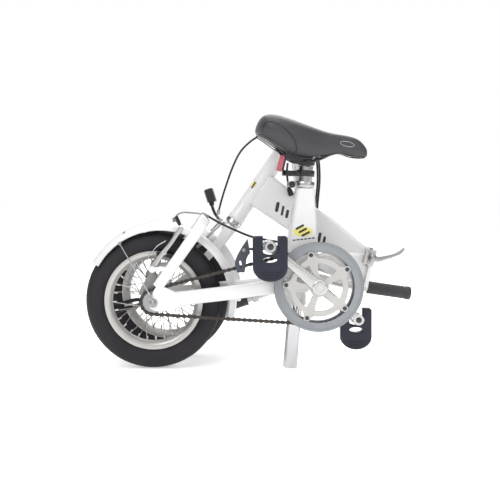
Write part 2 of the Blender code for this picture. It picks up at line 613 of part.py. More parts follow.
def front_frame(mats):
    def tube(inner, outer, low, high, flare=0.0):
        return [(low, inner), (high, inner), (high, outer + flare), (low, outer)]

    profile = tube(0.0145, 0.0190, HEAD_TUBE_LOW, HEAD_TUBE_HIGH, 0.002)
    piece("head_tube", "front_half", mats["paint"], turned_ring(CROWN, STEER_AXIS, profile, 16))
    for name, low, high in (("lower_headset_cup", -0.002, HEAD_TUBE_LOW), ("upper_headset_cup", HEAD_TUBE_HIGH, 0.238)):
        profile = tube(0.0145, 0.0220, low + GAP, high - GAP)
        piece(name, "front_half", mats["silver"], turned_ring(CROWN, STEER_AXIS, profile, 16))
    pin = Vector((HINGE.x, -HINGE.y, HINGE.z))
    outline = [(0.2240, 0.3910), (0.2420, 0.3780), *hinge_edge(-0.036, 0.041), (0.4400, 0.3460), (0.2752, 0.4652)]
    beam = hinge_leaf("main_tube", "front_half", pin, outline, 0.018, [(-0.0142, 0.0142)], mats)
    cut(beam, "front_half", turned(CROWN, STEER_AXIS, [(0.0, 0.0208), (0.24, 0.0216)], 16))
    cable("frame_brake_cable", "front_half", mats["rubber"],
          [(0.3250, 0.0000, 0.4890), (0.3235, -0.0120, 0.4740), (0.3240, -0.0215, 0.4560), (0.3270, -0.0235, 0.4320),
           (0.3300, -0.0235, 0.4180)], 0.0028, 8)


def fork(mats):
    y = Vector((0, 1, 0))
    steerer = [(-0.026, 0.0175), (-0.0030, 0.0175), (-0.0030, 0.0125), (0.2385, 0.0125), (STEM_TOP, 0.0118)]
    crown = piece("fork", "fork", mats["paint"], turned(CROWN, STEER_AXIS, steerer, 16))
    shoulder = head_point(-0.016)
    join(crown, "fork", swept([shoulder - y * 0.050, shoulder + y * 0.050], (0.010, 0.012), up=STEER_AXIS))
    for side in (-1, 1):
        path = [
            shoulder + y * side * 0.0455 + STEER_AXIS * 0.008, Vector((0.150, side * 0.0470, 0.2830)),
            Vector((0.092, side * 0.0480, 0.2190)), Vector((0.040, side * 0.0480, 0.1760)),
            Vector((0.011, side * 0.0480, 0.1550)),
        ]
        join(crown, "fork", swept(path, [(0.012, 0.0060), (0.011, 0.0055), (0.010, 0.0045), (0.011, 0.0030), (0.011, 0.0025)]))
    cut(crown, "fork", rod(FRONT_AXLE - y * 0.06, FRONT_AXLE + y * 0.06, 0.0055, 12))
    # The stem's ear carries the handlepost's oblique hinge.
    knuckle = POST_HINGE - POST_HINGE_AXIS * 0.0060
    join(crown, "fork", turned(knuckle, POST_HINGE_AXIS, [(-0.0057, 0.0062), (0.0057, 0.0062)], 12))
    join(crown, "fork", swept([head_point(STEM_TOP - 0.010), knuckle], (0.0052, 0.0042), up=POST_HINGE_AXIS))
    axle = [(-0.0590, 0.0048), (-0.0575, 0.0085), (-0.0515, 0.0085), (-0.0515, 0.0048), (0.0515, 0.0048)]
    axle += [(0.0515, 0.0085), (0.0575, 0.0085), (0.0590, 0.0048)]
    piece("front_axle", "fork", mats["steel"], turned(FRONT_AXLE, y, axle, 12))

    start, along, _ = front_brake_axis()
    join(crown, "fork", rod(start, start + along * 0.0348, 0.0030, 10))
    foot = start + along * 0.0385
    arm = [foot, (0.1400, 0, 0.3640), (0.1335, -0.002, 0.3820), (0.1310, -0.002, 0.3980)]
    reflector = piece("front_reflector", "fork", mats["black"],
                      swept([Vector(p) for p in arm], (0.0035, 0.0030), corners=4))
    join(reflector, "fork", block((0.1290, -0.002, 0.4080), (Vector((0.95, 0, 0.30)), (0, 1, 0)), (0.0110, 0.020, 0.0185)))
    cable("front_brake_cable", "fork", mats["rubber"],
          [(0.1520, -0.018, 0.3680), (0.1600, -0.0200, 0.3980), (0.1680, -0.0200, 0.4240), (0.1870, -0.0200, 0.4780),
           (0.2080, -0.0150, 0.5200), (0.2360, -0.0080, 0.5480), (0.2650, 0.0000, 0.5650), (0.2950, 0.0040, 0.5800)],
          0.0024, 24)


def front_brake_axis():
    """The bolt through the crown that both caliper arms turn on: its start, its direction and the way to the rim."""
    start = head_point(-0.016)
    out = (start - FRONT_AXLE).normalized()
    return start, out.cross(Vector((0, 1, 0))).normalized(), out


def front_brake_arm(side, name, carrier, mats):
    """A caliper arm that pivots on the crown and reaches round the fender to the rim."""
    crown, along, out = front_brake_axis()
    offset = 0.0310 if side > 0 else 0.0225
    base = crown + along * offset
    drop = (crown - FRONT_AXLE).length - math.sqrt(SHOE_R**2 - offset**2)
    y = Vector((0, 1, 0))
    path = [base - y * side * 0.018, base, base + y * side * 0.024, base + y * side * 0.0375 - out * 0.012]
    path += [base + y * side * 0.0405 - out * 0.050, base + y * side * 0.0400 - out * (drop + 0.002)]
    sizes = (0.0048, 0.0035)
    rings = []
    for i, p in enumerate(path):
        tangent = (path[min(i + 1, 5)] - path[max(i - 1, 0)]).normalized()
        across = tangent.cross(along).normalized()
        rings.append([p + along * s * sizes[1] + across * t * sizes[0] for s, t in ((1, 1), (-1, 1), (-1, -1), (1, -1))])
    arm = piece(name, carrier, mats["silver"], bridged(rings))
    shoe = base - out * drop
    join(arm, carrier, rod(shoe + y * side * 0.0400, shoe + y * side * 0.0195, 0.0030, 8))
    outward = (shoe - FRONT_AXLE).normalized()
    join(arm, carrier, block(shoe + y * side * 0.0215, (outward.cross(y), outward), (0.018, 0.0042, 0.0040)))
    cut(arm, carrier, rod(base - along * 0.01, base + along * 0.01, 0.0036, 10))


def cockpit(mats):
    """Handlepost, handlebar, grips and brake levers, in their riding place before the fold."""
    y = Vector((0, 1, 0))
    forward = STEER_AXIS.cross(y).normalized()
    top = POST_BASE + STEER_AXIS * POST_RISE
    profile = [(POST_START, 0.0160), (POST_START + 0.016, 0.0175), (POST_START + 0.050, 0.0160)]
    profile += [(POST_RISE - 0.016, 0.0140)]
    post = piece("handlepost", "handlepost", mats["alloy"], turned(POST_BASE, STEER_AXIS, profile, 14))
    join(post, "handlepost", rod(top - y * 0.022, top + y * 0.022, 0.0175, 12))
    knuckle = POST_HINGE + POST_HINGE_AXIS * 0.0060
    join(post, "handlepost", turned(knuckle, POST_HINGE_AXIS, [(-0.0057, 0.0062), (0.0057, 0.0062)], 12))
    offset = POST_HINGE - CROWN
    out = (offset - STEER_AXIS * offset.dot(STEER_AXIS)).normalized()
    ear = [knuckle, knuckle + STEER_AXIS * 0.031 - out * 0.003, knuckle + STEER_AXIS * 0.046 - out * 0.0055]
    join(post, "handlepost", swept(ear, (0.0035, 0.0036), up=POST_HINGE_AXIS))
    cut(post, "handlepost", rod(top - y * 0.03, top + y * 0.03, 0.0116, 12))

    def at(across, side):
        """A point of the bar: it rises beyond the clamp, then slopes gently up to its end."""
        rise = 0.022 * min(max((across - 0.03) / 0.06, 0), 1) + max(across - 0.09, 0) * math.tan(BAR_DROP)
        return top + y * side * across + STEER_AXIS * rise

    reach = [BAR_HALF, 0.18, 0.09, 0.06, 0.03]
    path = [at(a, -1) for a in reach] + [at(a, 1) for a in reversed(reach)]
    bar = piece("handlebar", "handlepost", mats["silver"], swept(path, (0.0110, 0.0110), up=forward, corners=12))
    for side, word in ((-1, "left"), (1, "right")):
        start, end = at(BAR_HALF - 0.110, side), at(BAR_HALF, side)
        grip = (end - start).normalized()
        profile = [(0, 0.0117), (0, 0.0165), (0.100, 0.0155), (0.101, 0.0175), (0.1135, 0.0175), (0.1135, 0.0117)]
        piece(f"{word}_grip", "handlepost", mats["grip"], turned_ring(start, grip, profile, 14))
        clamp = at(BAR_HALF - 0.130, side)
        join(bar, "handlepost", turned(clamp, grip, [(-0.008, 0.0165), (0.008, 0.0165)], 12))
        join(bar, "handlepost", swept([clamp + forward * 0.010, clamp + forward * 0.038 + grip * 0.004], (0.0075, 0.0060)))
        pivot = clamp + forward * 0.0445 + grip * 0.006
        blade = [pivot, pivot + grip * 0.025 + forward * 0.004, pivot + grip * 0.075 - forward * 0.004]
        blade += [pivot + grip * 0.100 + forward * 0.002]
        piece(f"{word}_brake_lever", f"{word}_brake_lever", mats["silver"],
              swept(blade, [(0.0055, 0.0060), (0.0045, 0.0050), (0.0035, 0.0050), (0.0035, 0.0045)], up=STEER_AXIS))
    cable("handlepost_cable", "handlepost", mats["rubber"],
          [at(0.130, -1) + forward * 0.035, at(0.090, -1) + forward * 0.042 - STEER_AXIS * 0.020,
           top - y * 0.042 + forward * 0.028 - STEER_AXIS * 0.080, top - y * 0.034 - STEER_AXIS * 0.170,
           top - y * 0.046 - STEER_AXIS * 0.260, top - y * 0.045 - STEER_AXIS * 0.320,
           top - y * 0.030 - STEER_AXIS * 0.345], 0.0026, 24)


# ---------------------------------------------------------------- assembly
def joints():
    """The moving groups, each with the axis that it turns or slides on."""
    y, x = (0, 1, 0), (1, 0, 0)
    group("rear_frame", REAR)
    group("rear_wheel", REAR, REAR_AXLE, y, "rear_frame")
    group("freewheel", REAR, REAR_AXLE, y, "rear_frame")
    group("crankset", REAR, BB, y, "rear_frame")
    group("seat_post", REAR, POST_FOOT, POST_AXIS, "rear_frame")
    group("seat_clamp_lever", REAR, (0.3265, 0.0300, 0.4350), (0, 0, 1), "rear_frame")
    group("kickstand", REAR, (-0.022, 0.0640, 0.150), (0, -1, 0), "rear_frame")
    latch = HINGE - Vector((0, 0.0840, 0)) - HINGE_FACE * 0.010 + HINGE_AXIS * 0.026
    group("frame_latch_lever", REAR, latch, -HINGE_AXIS, "rear_frame")
    arm = Vector((0.068, 0, 0.088)).normalized()
    for word in ("right", "left"):
        group(f"rear_brake_arm_{word}", REAR, (-0.002, -0.0425 if word == "right" else 0.0425, 0.238),
              arm.cross(Vector(y)), "rear_frame")
        side = -1 if word == "right" else 1
        angle = CRANK_ANGLE if side < 0 else CRANK_ANGLE + math.pi
        end = BB + Vector((math.cos(angle), 0, math.sin(angle))) * CRANK_LENGTH
        group(f"{word}_pedal_spindle", REAR, end + Vector((0, side * 0.0726, 0)), y, "crankset")
        group(f"{word}_pedal", REAR, end + Vector((0, side * 0.100, 0)), (side, 0, 0), f"{word}_pedal_spindle")
    group("front_half", FRONT, (HINGE.x, -HINGE.y, HINGE.z), -HINGE_AXIS, "rear_frame")
    group("fork", FRONT, CROWN, STEER_AXIS, "front_half")
    group("front_wheel", FRONT, FRONT_AXLE, y, "fork")
    start, along, _ = front_brake_axis()
    for word in ("right", "left"):
        group(f"front_brake_arm_{word}", FRONT, start + along * 0.0225, along, "fork")
    group("handlepost", BAR, POST_HINGE, -POST_HINGE_AXIS, "fork")
    forward = STEER_AXIS.cross(Vector(y)).normalized()
    for side, word in ((-1, "left"), (1, "right")):
        pivot = POST_BASE + STEER_AXIS * (POST_RISE + 0.022 + 0.046 * math.tan(BAR_DROP))
        pivot += Vector(y) * side * 0.146 + forward * 0.0445
        group(f"{word}_brake_lever", BAR, pivot, STEER_AXIS * -side, "handlepost")


def main():
    for obj in list(bpy.data.objects):
        bpy.data.objects.remove(obj)
    mats = {
        "paint": finish("white paint", (0.90, 0.90, 0.91), 0.25),
        "silver": finish("bare alloy", (0.70, 0.69, 0.68), 0.30, 0.9),
        "alloy": finish("polished alloy", (0.79, 0.78, 0.76), 0.22, 0.85),
        "rim": finish("rim alloy", (0.71, 0.70, 0.69), 0.38, 0.8),
        "steel": finish("plated steel", (0.55, 0.55, 0.56), 0.30, 0.95),
        "chrome": finish("chrome", (0.82, 0.82, 0.84), 0.10, 1.0),
        "guard": finish("guard ring plastic", (0.56, 0.58, 0.61), 0.45),
        "chain": finish("chain steel", (0.24, 0.21, 0.18), 0.45, 0.7),
        "tyre": finish("tyre rubber", (0.028, 0.027, 0.030), 0.75),
        "rubber": finish("cable housing", (0.03, 0.03, 0.035), 0.5),
        "grip": finish("grip rubber", (0.055, 0.054, 0.060), 0.7),
        "pedal": finish("pedal plastic", (0.022, 0.026, 0.050), 0.35),
        "black": finish("black plastic", (0.035, 0.035, 0.040), 0.4),
        "dark": finish("dark grey plastic", (0.09, 0.10, 0.13), 0.45),
        "saddle": finish("saddle vinyl", (0.10, 0.10, 0.11), 0.45),
        "red": finish("reflector lens", (0.60, 0.10, 0.14), 0.2),
    }
    joints()
    rear_frame(mats)
    brake_arch(mats)
    fender("rear_fender", "rear_frame", (0.0146, 0, 0.1630), -17, 151, mats)
    wheel("rear", "rear_wheel", REAR_AXLE, mats)
    drive_train(mats)
    seat_parts(mats)
    small_rear_parts(mats)
    rear_brake_arm(-1, "rear_brake_arm_right", "rear_brake_arm_right", mats)
    rear_brake_arm(1, "rear_brake_arm_left", "rear_brake_arm_left", mats)
    front_frame(mats)
    fork(mats)
    fender("front_fender", "fork", (0.0260, 0, 0.1680), -8, 130, mats)
    wheel("front", "front_wheel", FRONT_AXLE, mats)
    front_brake_arm(-1, "front_brake_arm_right", "front_brake_arm_right", mats)
    front_brake_arm(1, "front_brake_arm_left", "front_brake_arm_left", mats)
    cockpit(mats)


main()
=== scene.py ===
"""Looks of the folding bicycle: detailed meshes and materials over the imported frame, in metres.

Shapes are made in design coordinates, X = 0 at the rear axle and Z = 0 on the ground, and placed
by one matrix for the rear half, one for the folded front half and one for the folded handlepost.
"""

import json
import math

import bmesh
import bpy
from mathutils import Matrix, Vector


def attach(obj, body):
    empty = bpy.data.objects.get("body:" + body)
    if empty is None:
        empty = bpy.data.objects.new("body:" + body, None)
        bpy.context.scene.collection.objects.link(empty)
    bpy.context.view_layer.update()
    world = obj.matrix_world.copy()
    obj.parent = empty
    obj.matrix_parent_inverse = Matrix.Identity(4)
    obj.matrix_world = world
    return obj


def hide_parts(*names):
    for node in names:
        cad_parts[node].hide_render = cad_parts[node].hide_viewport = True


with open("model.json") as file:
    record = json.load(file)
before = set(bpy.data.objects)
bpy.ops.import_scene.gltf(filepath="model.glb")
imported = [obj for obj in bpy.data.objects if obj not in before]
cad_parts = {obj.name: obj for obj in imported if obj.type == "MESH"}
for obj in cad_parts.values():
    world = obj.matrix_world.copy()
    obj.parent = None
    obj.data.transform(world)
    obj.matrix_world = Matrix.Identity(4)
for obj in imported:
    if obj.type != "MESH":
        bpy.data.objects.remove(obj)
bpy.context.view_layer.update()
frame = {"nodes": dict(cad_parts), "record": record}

Y = Vector((0, 1, 0))
ORIGIN = Vector((0.254, 0.0748, 0.0))
WHEEL_R = 0.161
SPOKES = 28
SPOKE_LEAD = math.radians(62)
SPOKE_HOLE_R = 0.0185
HUB_FLANGE_Y = 0.026
TREAD_START_R = 0.1475
REAR_AXLE = Vector((0, 0, WHEEL_R))
FRONT_AXLE = Vector((0.02, 0, 0.1634))
FENDER_R = 0.1835
FENDER_HALF = 0.032
SHOE_R = 0.11

BB = Vector((0.384, 0, 0.198))
CRANK_LENGTH = 0.152
CRANK_ANGLE = math.radians(140.4)
ARMS = 5
PITCH = 0.0127
CHAINRING_R = 44 * PITCH / (2 * math.pi)
SPROCKET_R = 14 * PITCH / (2 * math.pi)
CHAIN_Y = -0.043
GUARD_R = 0.104

POST_R = 0.01695
POST_FOOT = Vector((0.324, 0, 0.0014))
POST_LEAN = math.radians(4.62)
POST_AXIS = Vector((math.sin(POST_LEAN), 0, math.cos(POST_LEAN)))

HINGE = Vector((0.514, 0.04, 0.236))
TILT = math.radians(14)
HINGE_AXIS = Vector((math.sin(TILT), 0, math.cos(TILT)))
HINGE_FACE = Vector((math.cos(TILT), 0, -math.sin(TILT)))
SPLAY = math.radians(-8)

CROWN = Vector((0.186, 0, 0.336))
STEER_AXIS = Vector((0.131, 0, 0.19)).normalized()
POST_TOP_FOLDED = Vector((0.35, 0.03, 0.53))
BAR_CENTRE_FOLDED = Vector((0.372, 0.101, 0.192))
BAR_YAW = 0.15
BAR_HALF = 0.27
BAR_DROP = math.radians(14)
POST_START = 0.025


# ---------------------------------------------------------------- frames of reference
def mm(*rows):
    """Rows of millimetres as tuples of metres."""
    return [tuple(value / 1000 for value in row) for row in rows]


def about(point, axis, angle):
    return Matrix.Translation(point) @ Matrix.Rotation(angle, 4, axis) @ Matrix.Translation(-point)


def columns(a, b):
    return Matrix((a, b, a.cross(b))).transposed()


def handlepost_fold():
    """The turn from the riding handlepost to the folded one: hinge point, axis, angle, foot and length."""
    down = (BAR_CENTRE_FOLDED - POST_TOP_FOLDED).normalized()
    length = (BAR_CENTRE_FOLDED - POST_TOP_FOLDED).length
    across = Vector((1, BAR_YAW, -(down.x + BAR_YAW * down.y) / down.z)).normalized()
    turn = columns(down, across) @ columns(STEER_AXIS, -Y).transposed()
    axis, angle = turn.to_quaternion().to_axis_angle()
    rise = axis.dot(BAR_CENTRE_FOLDED - CROWN) / axis.dot(STEER_AXIS)
    riding_centre = CROWN + STEER_AXIS * rise
    foot = CROWN + STEER_AXIS * (rise - length)
    step = BAR_CENTRE_FOLDED - riding_centre
    point = (BAR_CENTRE_FOLDED + riding_centre) / 2 + axis.cross(step) / (2 * math.tan(angle / 2))
    return point + axis * axis.dot(foot - point), axis, angle, foot, length


POST_HINGE, POST_HINGE_AXIS, POST_HINGE_ANGLE, POST_BASE, POST_RISE = handlepost_fold()
REAR = Matrix.Translation(-ORIGIN)
FRONT = REAR @ Matrix.Translation(HINGE) @ Matrix.Rotation(SPLAY, 4, HINGE_AXIS) @ Matrix.Translation(
    Vector((-HINGE.x, HINGE.y, -HINGE.z))
)
BAR = FRONT @ about(POST_HINGE, POST_HINGE_AXIS, POST_HINGE_ANGLE)
UPRIGHT = Matrix.Rotation(math.pi / 2, 4, "X")  # lays a plate's outline (x, y) on the side view (x, z)


def post_point(height):
    return POST_FOOT + POST_AXIS * ((height - POST_FOOT.z) / POST_AXIS.z)


def head_point(t):
    return CROWN + STEER_AXIS * t


# ---------------------------------------------------------------- materials
def feed(tree, node, settings):
    """Gives each named input its value, or links the socket that feeds it."""
    for key, value in settings.items():
        if isinstance(value, bpy.types.NodeSocket):
            tree.links.new(value, node.inputs[key])
        else:
            node.inputs[key].default_value = value


def add(tree, kind, settings, **attributes):
    """A new shader node with its attributes set and its inputs fed."""
    node = tree.nodes.new("ShaderNode" + kind)
    for key, value in attributes.items():
        setattr(node, key, value)
    feed(tree, node, settings)
    return node


def relief(tree, height, strength, distance, **attributes):
    """Feeds a bump made from height to the material's shader."""
    settings = {"Strength": strength, "Distance": distance, "Height": height}
    bumped = add(tree, "Bump", settings, **attributes)
    feed(tree, tree.nodes["Principled BSDF"], {"Normal": bumped.outputs["Normal"]})


def material(
    name, colour, roughness, metallic=0.0, coat=0.0, bump=0.0, grain=300.0, vary=0.06, mottle=0.12,
    specular=0.5
):
    """A Principled material whose colour, roughness and bump vary with noise in object coordinates."""
    made = bpy.data.materials.new(name)
    made.use_nodes = True
    tree = made.node_tree
    place = add(tree, "TexCoord", {}).outputs["Object"]
    broad = add(tree, "TexNoise", {"Scale": 18, "Detail": 3, "Vector": place})
    ramp = add(tree, "ValToRGB", {"Fac": broad.outputs["Fac"]})
    for element, position, change in zip(ramp.color_ramp.elements, (0.3, 0.7), (-vary, vary)):
        element.position = position
        element.color = (*[min(1, c * (1 + change)) for c in colour], 1)
    fine = add(tree, "TexNoise", {"Scale": grain, "Detail": 4, "Vector": place}).outputs["Fac"]
    spread = {"To Min": roughness * (1 - mottle), "To Max": roughness * (1 + mottle), "Value": fine}
    rough = add(tree, "MapRange", spread)
    surface = {
        "Metallic": metallic, "Coat Weight": coat, "Coat Roughness": 0.08, "Specular IOR Level": specular,
        "Base Color": ramp.outputs["Color"], "Roughness": rough.outputs["Result"]
    }
    feed(tree, tree.nodes["Principled BSDF"], surface)
    if bump:
        relief(tree, fine, bump, 0.0004)
    return made


def with_cells(made, scale, depth):
    """Adds the creased cells of vinyl or leather to a material."""
    tree = made.node_tree
    place = add(tree, "TexCoord", {}).outputs["Object"]
    cells = add(tree, "TexVoronoi", {"Scale": scale, "Vector": place}, feature="DISTANCE_TO_EDGE")
    relief(tree, cells.outputs["Distance"], depth, 0.0005)
    return made


def tread(made, blocks):
    """Cross grooves round a tyre, from the angle about the wheel's own axle."""
    tree = made.node_tree
    place = add(tree, "TexCoord", {}).outputs["Object"]
    x, y, z = add(tree, "SeparateXYZ", {"Vector": place}).outputs

    def maths(operation, *values):
        return add(tree, "Math", dict(enumerate(values)), operation=operation).outputs[0]

    slant = maths("MULTIPLY", maths("ABSOLUTE", y), 180.0)
    wave = maths("SINE", maths("ADD", maths("MULTIPLY", maths("ARCTAN2", z, x), blocks), slant))
    radius = maths("SQRT", maths("ADD", maths("POWER", x, 2), maths("POWER", z, 2)))
    on_tread = maths("GREATER_THAN", radius, TREAD_START_R)
    grooves = maths("MULTIPLY", maths("GREATER_THAN", wave, 0.55), on_tread)
    relief(tree, grooves, 0.9, 0.0016, invert=True)
    return made


MATS = {
    "paint": material("white paint", (0.74, 0.735, 0.74), 0.26, coat=0.5, bump=0.04, grain=220, vary=0.012),
    "silver": material("bare alloy", (0.46, 0.45, 0.44), 0.3, 1.0, bump=0.05, grain=500),
    "alloy": material("polished alloy", (0.54, 0.535, 0.53), 0.26, 0.75, bump=0.03, grain=400),
    "spider": material("cast alloy", (0.5, 0.49, 0.475), 0.36, 0.6, bump=0.1, grain=500),
    "rim": material("rim alloy", (0.5, 0.49, 0.475), 0.36, 0.7, bump=0.06, grain=600),
    "steel": material("plated steel", (0.33, 0.33, 0.34), 0.3, 1.0, bump=0.05, grain=600, vary=0.1),
    "chrome": material("chrome", (0.5, 0.5, 0.515), 0.11, 1.0, bump=0.015, grain=300, vary=0.03),
    "guard": material("guard ring plastic", (0.262, 0.277, 0.295), 0.45, bump=0.06, grain=700),
    "chain": material("chain steel", (0.05, 0.043, 0.037), 0.42, 0.5, bump=0.2, grain=700, vary=0.3),
    "tyre": tread(
        material("tyre rubber", (0.018, 0.016, 0.019), 0.62, grain=900, vary=0.12, specular=0.28), 76
    ),
    "rubber": material("cable housing", (0.016, 0.016, 0.019), 0.42, bump=0.05, grain=900, specular=0.35),
    "wire": material("spoke wire", (0.3, 0.29, 0.28), 0.34, 1.0, bump=0.03, grain=600),
    "grip": material("grip rubber", (0.034, 0.033, 0.037), 0.6, bump=0.35, grain=1500, vary=0.1),
    "pedal": material("pedal plastic", (0.01, 0.013, 0.026), 0.32, bump=0.1, grain=900, specular=0.4),
    "black": material("black plastic", (0.018, 0.018, 0.021), 0.38, bump=0.12, grain=900, specular=0.4),
    "dark": material("dark grey plastic", (0.05, 0.056, 0.075), 0.42, bump=0.12, grain=900),
    "saddle": with_cells(
        material("saddle vinyl", (0.046, 0.045, 0.05), 0.44, grain=1200, vary=0.1, specular=0.4), 520, 0.35
    ),
    "piping": material("saddle seam", (0.03, 0.03, 0.034), 0.55, bump=0.3, grain=1500),
    "red": material("reflector lens", (0.4, 0.085, 0.11), 0.18, coat=0.8, bump=0.35, grain=260, vary=0.2),
    "clear": material("clear reflector", (0.24, 0.235, 0.225), 0.26, coat=0.6, bump=0.4, grain=260, vary=0.2),
    "yellow": material("yellow decal", (0.78, 0.7, 0.16), 0.3, coat=0.4),
    "ink": material("black decal", (0.014, 0.014, 0.016), 0.3, coat=0.4),
    "mark": material("silver print", (0.55, 0.54, 0.52), 0.4, 0.5),
}


# ---------------------------------------------------------------- meshes
class Shape:
    """Closed shells gathered into one mesh."""

    def __init__(self):
        self.mesh = bmesh.new()

    def rings(self, rings, closed=False):
        loops = [[self.mesh.verts.new(p) for p in ring] for ring in rings]
        pairs = list(zip(loops, loops[1:])) + ([(loops[-1], loops[0])] if closed else [])
        for low, high in pairs:
            for i in range(len(low)):
                j = (i + 1) % len(low)
                self.mesh.faces.new((low[i], low[j], high[j], high[i]))
        if not closed:
            self.mesh.faces.new(loops[0])
            self.mesh.faces.new(list(reversed(loops[-1])))
        return self

    def turned(self, origin, axis, profile, sides=24):
        """A solid of revolution with flat ends: profile lists (distance along axis, radius)."""
        axis = Vector(axis).normalized()
        return self.rings([circle(Vector(origin) + axis * t, axis, r, sides) for t, r in profile])

    def rod(self, start, end, radius, sides=16):
        start, end = Vector(start), Vector(end)
        edge = min(radius * 0.15, 0.0006)
        length = (end - start).length
        profile = [(0, radius - edge), (edge, radius), (length - edge, radius), (length, radius - edge)]
        return self.turned(start, end - start, profile, sides)

    def ring(self, origin, axis, profile, steps=64, low=0.0, high=360.0):
        """A closed profile of (distance along axis, radius) turned about axis, between two angles."""
        axis = Vector(axis).normalized()
        zero = Vector((1, 0, 0)) if abs(axis.x) < 0.9 else Y
        zero = (zero - axis * axis.dot(zero)).normalized()
        other = axis.cross(zero)
        whole = high - low > 359.9
        made = []
        for k in range(steps if whole else steps + 1):
            a = math.radians(low + (high - low) * k / steps)
            out = zero * math.cos(a) + other * math.sin(a)
            made.append([Vector(origin) + axis * t + out * r for t, r in profile])
        return self.rings(made, closed=whole)

    def swept(self, path, sizes, up=(0, 1, 0), corner=None, arc=4):
        """A tube along path whose section is a rounded rectangle of (half across, half towards up)."""
        path = [Vector(p) for p in path]
        made = []
        for i, p in enumerate(path):
            tangent = (path[min(i + 1, len(path) - 1)] - path[max(i - 1, 0)]).normalized()
            side, high = side_vectors(tangent, up)
            a, b = sizes[i] if isinstance(sizes, list) else sizes
            radius = min(a, b) if corner is None else min(corner, a, b)
            made.append([p + side * s + high * t for s, t in rounded(a, b, radius, arc)])
        return self.rings(made)

    def tube(self, path, sizes, count, **section):
        """A swept tube with its path, and its sizes if they are a list, smoothed over count steps."""
        if isinstance(sizes, list):
            sizes = smooth_sizes(sizes, count)
        return self.swept(smooth_path(path, count), sizes, **section)

    def block(self, centre, axes, halves):
        """A box with halves along two axes and their cross product."""
        a, b = Vector(axes[0]).normalized(), Vector(axes[1]).normalized()
        c = a.cross(b)
        centre = Vector(centre)
        flat = [(1, 1), (-1, 1), (-1, -1), (1, -1)]
        ends = []
        for w in (-1, 1):
            ends.append([centre + a * halves[0] * s + b * halves[1] * t + c * halves[2] * w for s, t in flat])
        return self.rings(ends)

    def bolt(self, at, axis, radius, height, sides=6):
        """A hexagon head with a washer under it."""
        axis = Vector(axis).normalized()
        self.turned(at, axis, [(0, radius * 1.35), (height * 0.2, radius * 1.35)], 20)
        profile = [(height * 0.2, radius), (height * 0.85, radius), (height, radius * 0.82)]
        return self.turned(at, axis, profile, sides)


def side_vectors(axis, up=None):
    axis = Vector(axis).normalized()
    up = Vector(up) if up else (Vector((0, 0, 1)) if abs(axis.z) < 0.9 else Vector((1, 0, 0)))
    side = axis.cross(up).normalized()
    return side, side.cross(axis)


def circle(centre, axis, radius, sides):
    side, up = side_vectors(axis)
    steps = [2 * math.pi * k / sides for k in range(sides)]
    return [Vector(centre) + (side * math.cos(a) + up * math.sin(a)) * radius for a in steps]


def rounded(a, b, radius, arc=4):
    """The points of a rectangle of half sizes a and b with rounded corners."""
    points = []
    for quarter, (cx, cy) in enumerate(((a, b), (-a, b), (-a, -b), (a, -b))):
        middle = (cx - math.copysign(radius, cx), cy - math.copysign(radius, cy))
        for k in range(arc + 1):
            turn = math.pi / 2 * (quarter + k / arc)
            points.append((middle[0] + radius * math.cos(turn), middle[1] + radius * math.sin(turn)))
    return points


def smooth_path(points, count):
    """count + 1 points on a Catmull-Rom curve through points, which may be vectors or tuples."""
    points = [Vector(p) for p in points]
    ends = [points[0] * 2 - points[1]] + points + [points[-1] * 2 - points[-2]]
    found = []
    for k in range(count + 1):
        t = k / count * (len(points) - 1)
        i = min(int(t), len(points) - 2)
        t -= i
        a, b, c, d = ends[i : i + 4]
        square = a * 2 - b * 5 + c * 4 - d
        cube = b * 3 - a - c * 3 + d
        found.append((b * 2 + (c - a) * t + square * t**2 + cube * t**3) / 2)
    return found


def smooth_sizes(sizes, count):
    return [tuple(v) for v in smooth_path([(a, b) for a, b in sizes], count)]


def show(name, shape, body, mat, placement=REAR, replaces=(), bevel=0.0, subdivide=0, sharp=35):
    """Turns a Shape into an object that rides on a CAD body and stands for CAD nodes."""
    bmesh.ops.recalc_face_normals(shape.mesh, faces=shape.mesh.faces)
    data = bpy.data.meshes.new(name)
    shape.mesh.to_mesh(data)
    shape.mesh.free()
    data.shade_smooth()
    data.set_sharp_from_angle(angle=math.radians(sharp))
    data.materials.append(MATS[mat])
    return settle(bpy.data.objects.new(name, data), body, placement, replaces, bevel, subdivide)


def settle(obj, body, placement, replaces=(), bevel=0.0, subdivide=0):
    bpy.context.scene.collection.objects.link(obj)
    if placement is BAR:
        obj.data.transform(placement)
    else:
        obj.matrix_world = placement
    if bevel:
        edge = obj.modifiers.new("edges", "BEVEL")
        edge.width = bevel
        edge.segments = 3
        edge.limit_method = "ANGLE"
        edge.angle_limit = math.radians(38)
        edge.harden_normals = True
    if subdivide:
        soft = obj.modifiers.new("soft", "SUBSURF")
        soft.levels = subdivide
        soft.render_levels = subdivide
    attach(obj, body)
    if replaces:
        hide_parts(*replaces)
    return obj


def plate(name, outlines, half, edge, body, mat, placement, replaces=()):
    """A flat plate with rounded edges from an outline and its holes, as (x, z) points."""
    curve = bpy.data.curves.new(name, "CURVE")
    curve.dimensions = "2D"
    curve.fill_mode = "BOTH"
    curve.extrude = max(half - edge, 0)
    curve.bevel_depth = edge
    curve.bevel_resolution = 2
    curve.offset = -edge
    for outline in outlines:
        spline = curve.splines.new("POLY")
        spline.points.add(len(outline) - 1)
        spline.use_cyclic_u = True
        for point, (x, z) in zip(spline.points, outline):
            point.co = (x, z, 0, 1)
    curve.materials.append(MATS[mat])
    return settle(bpy.data.objects.new(name, curve), body, placement @ UPRIGHT, replaces)


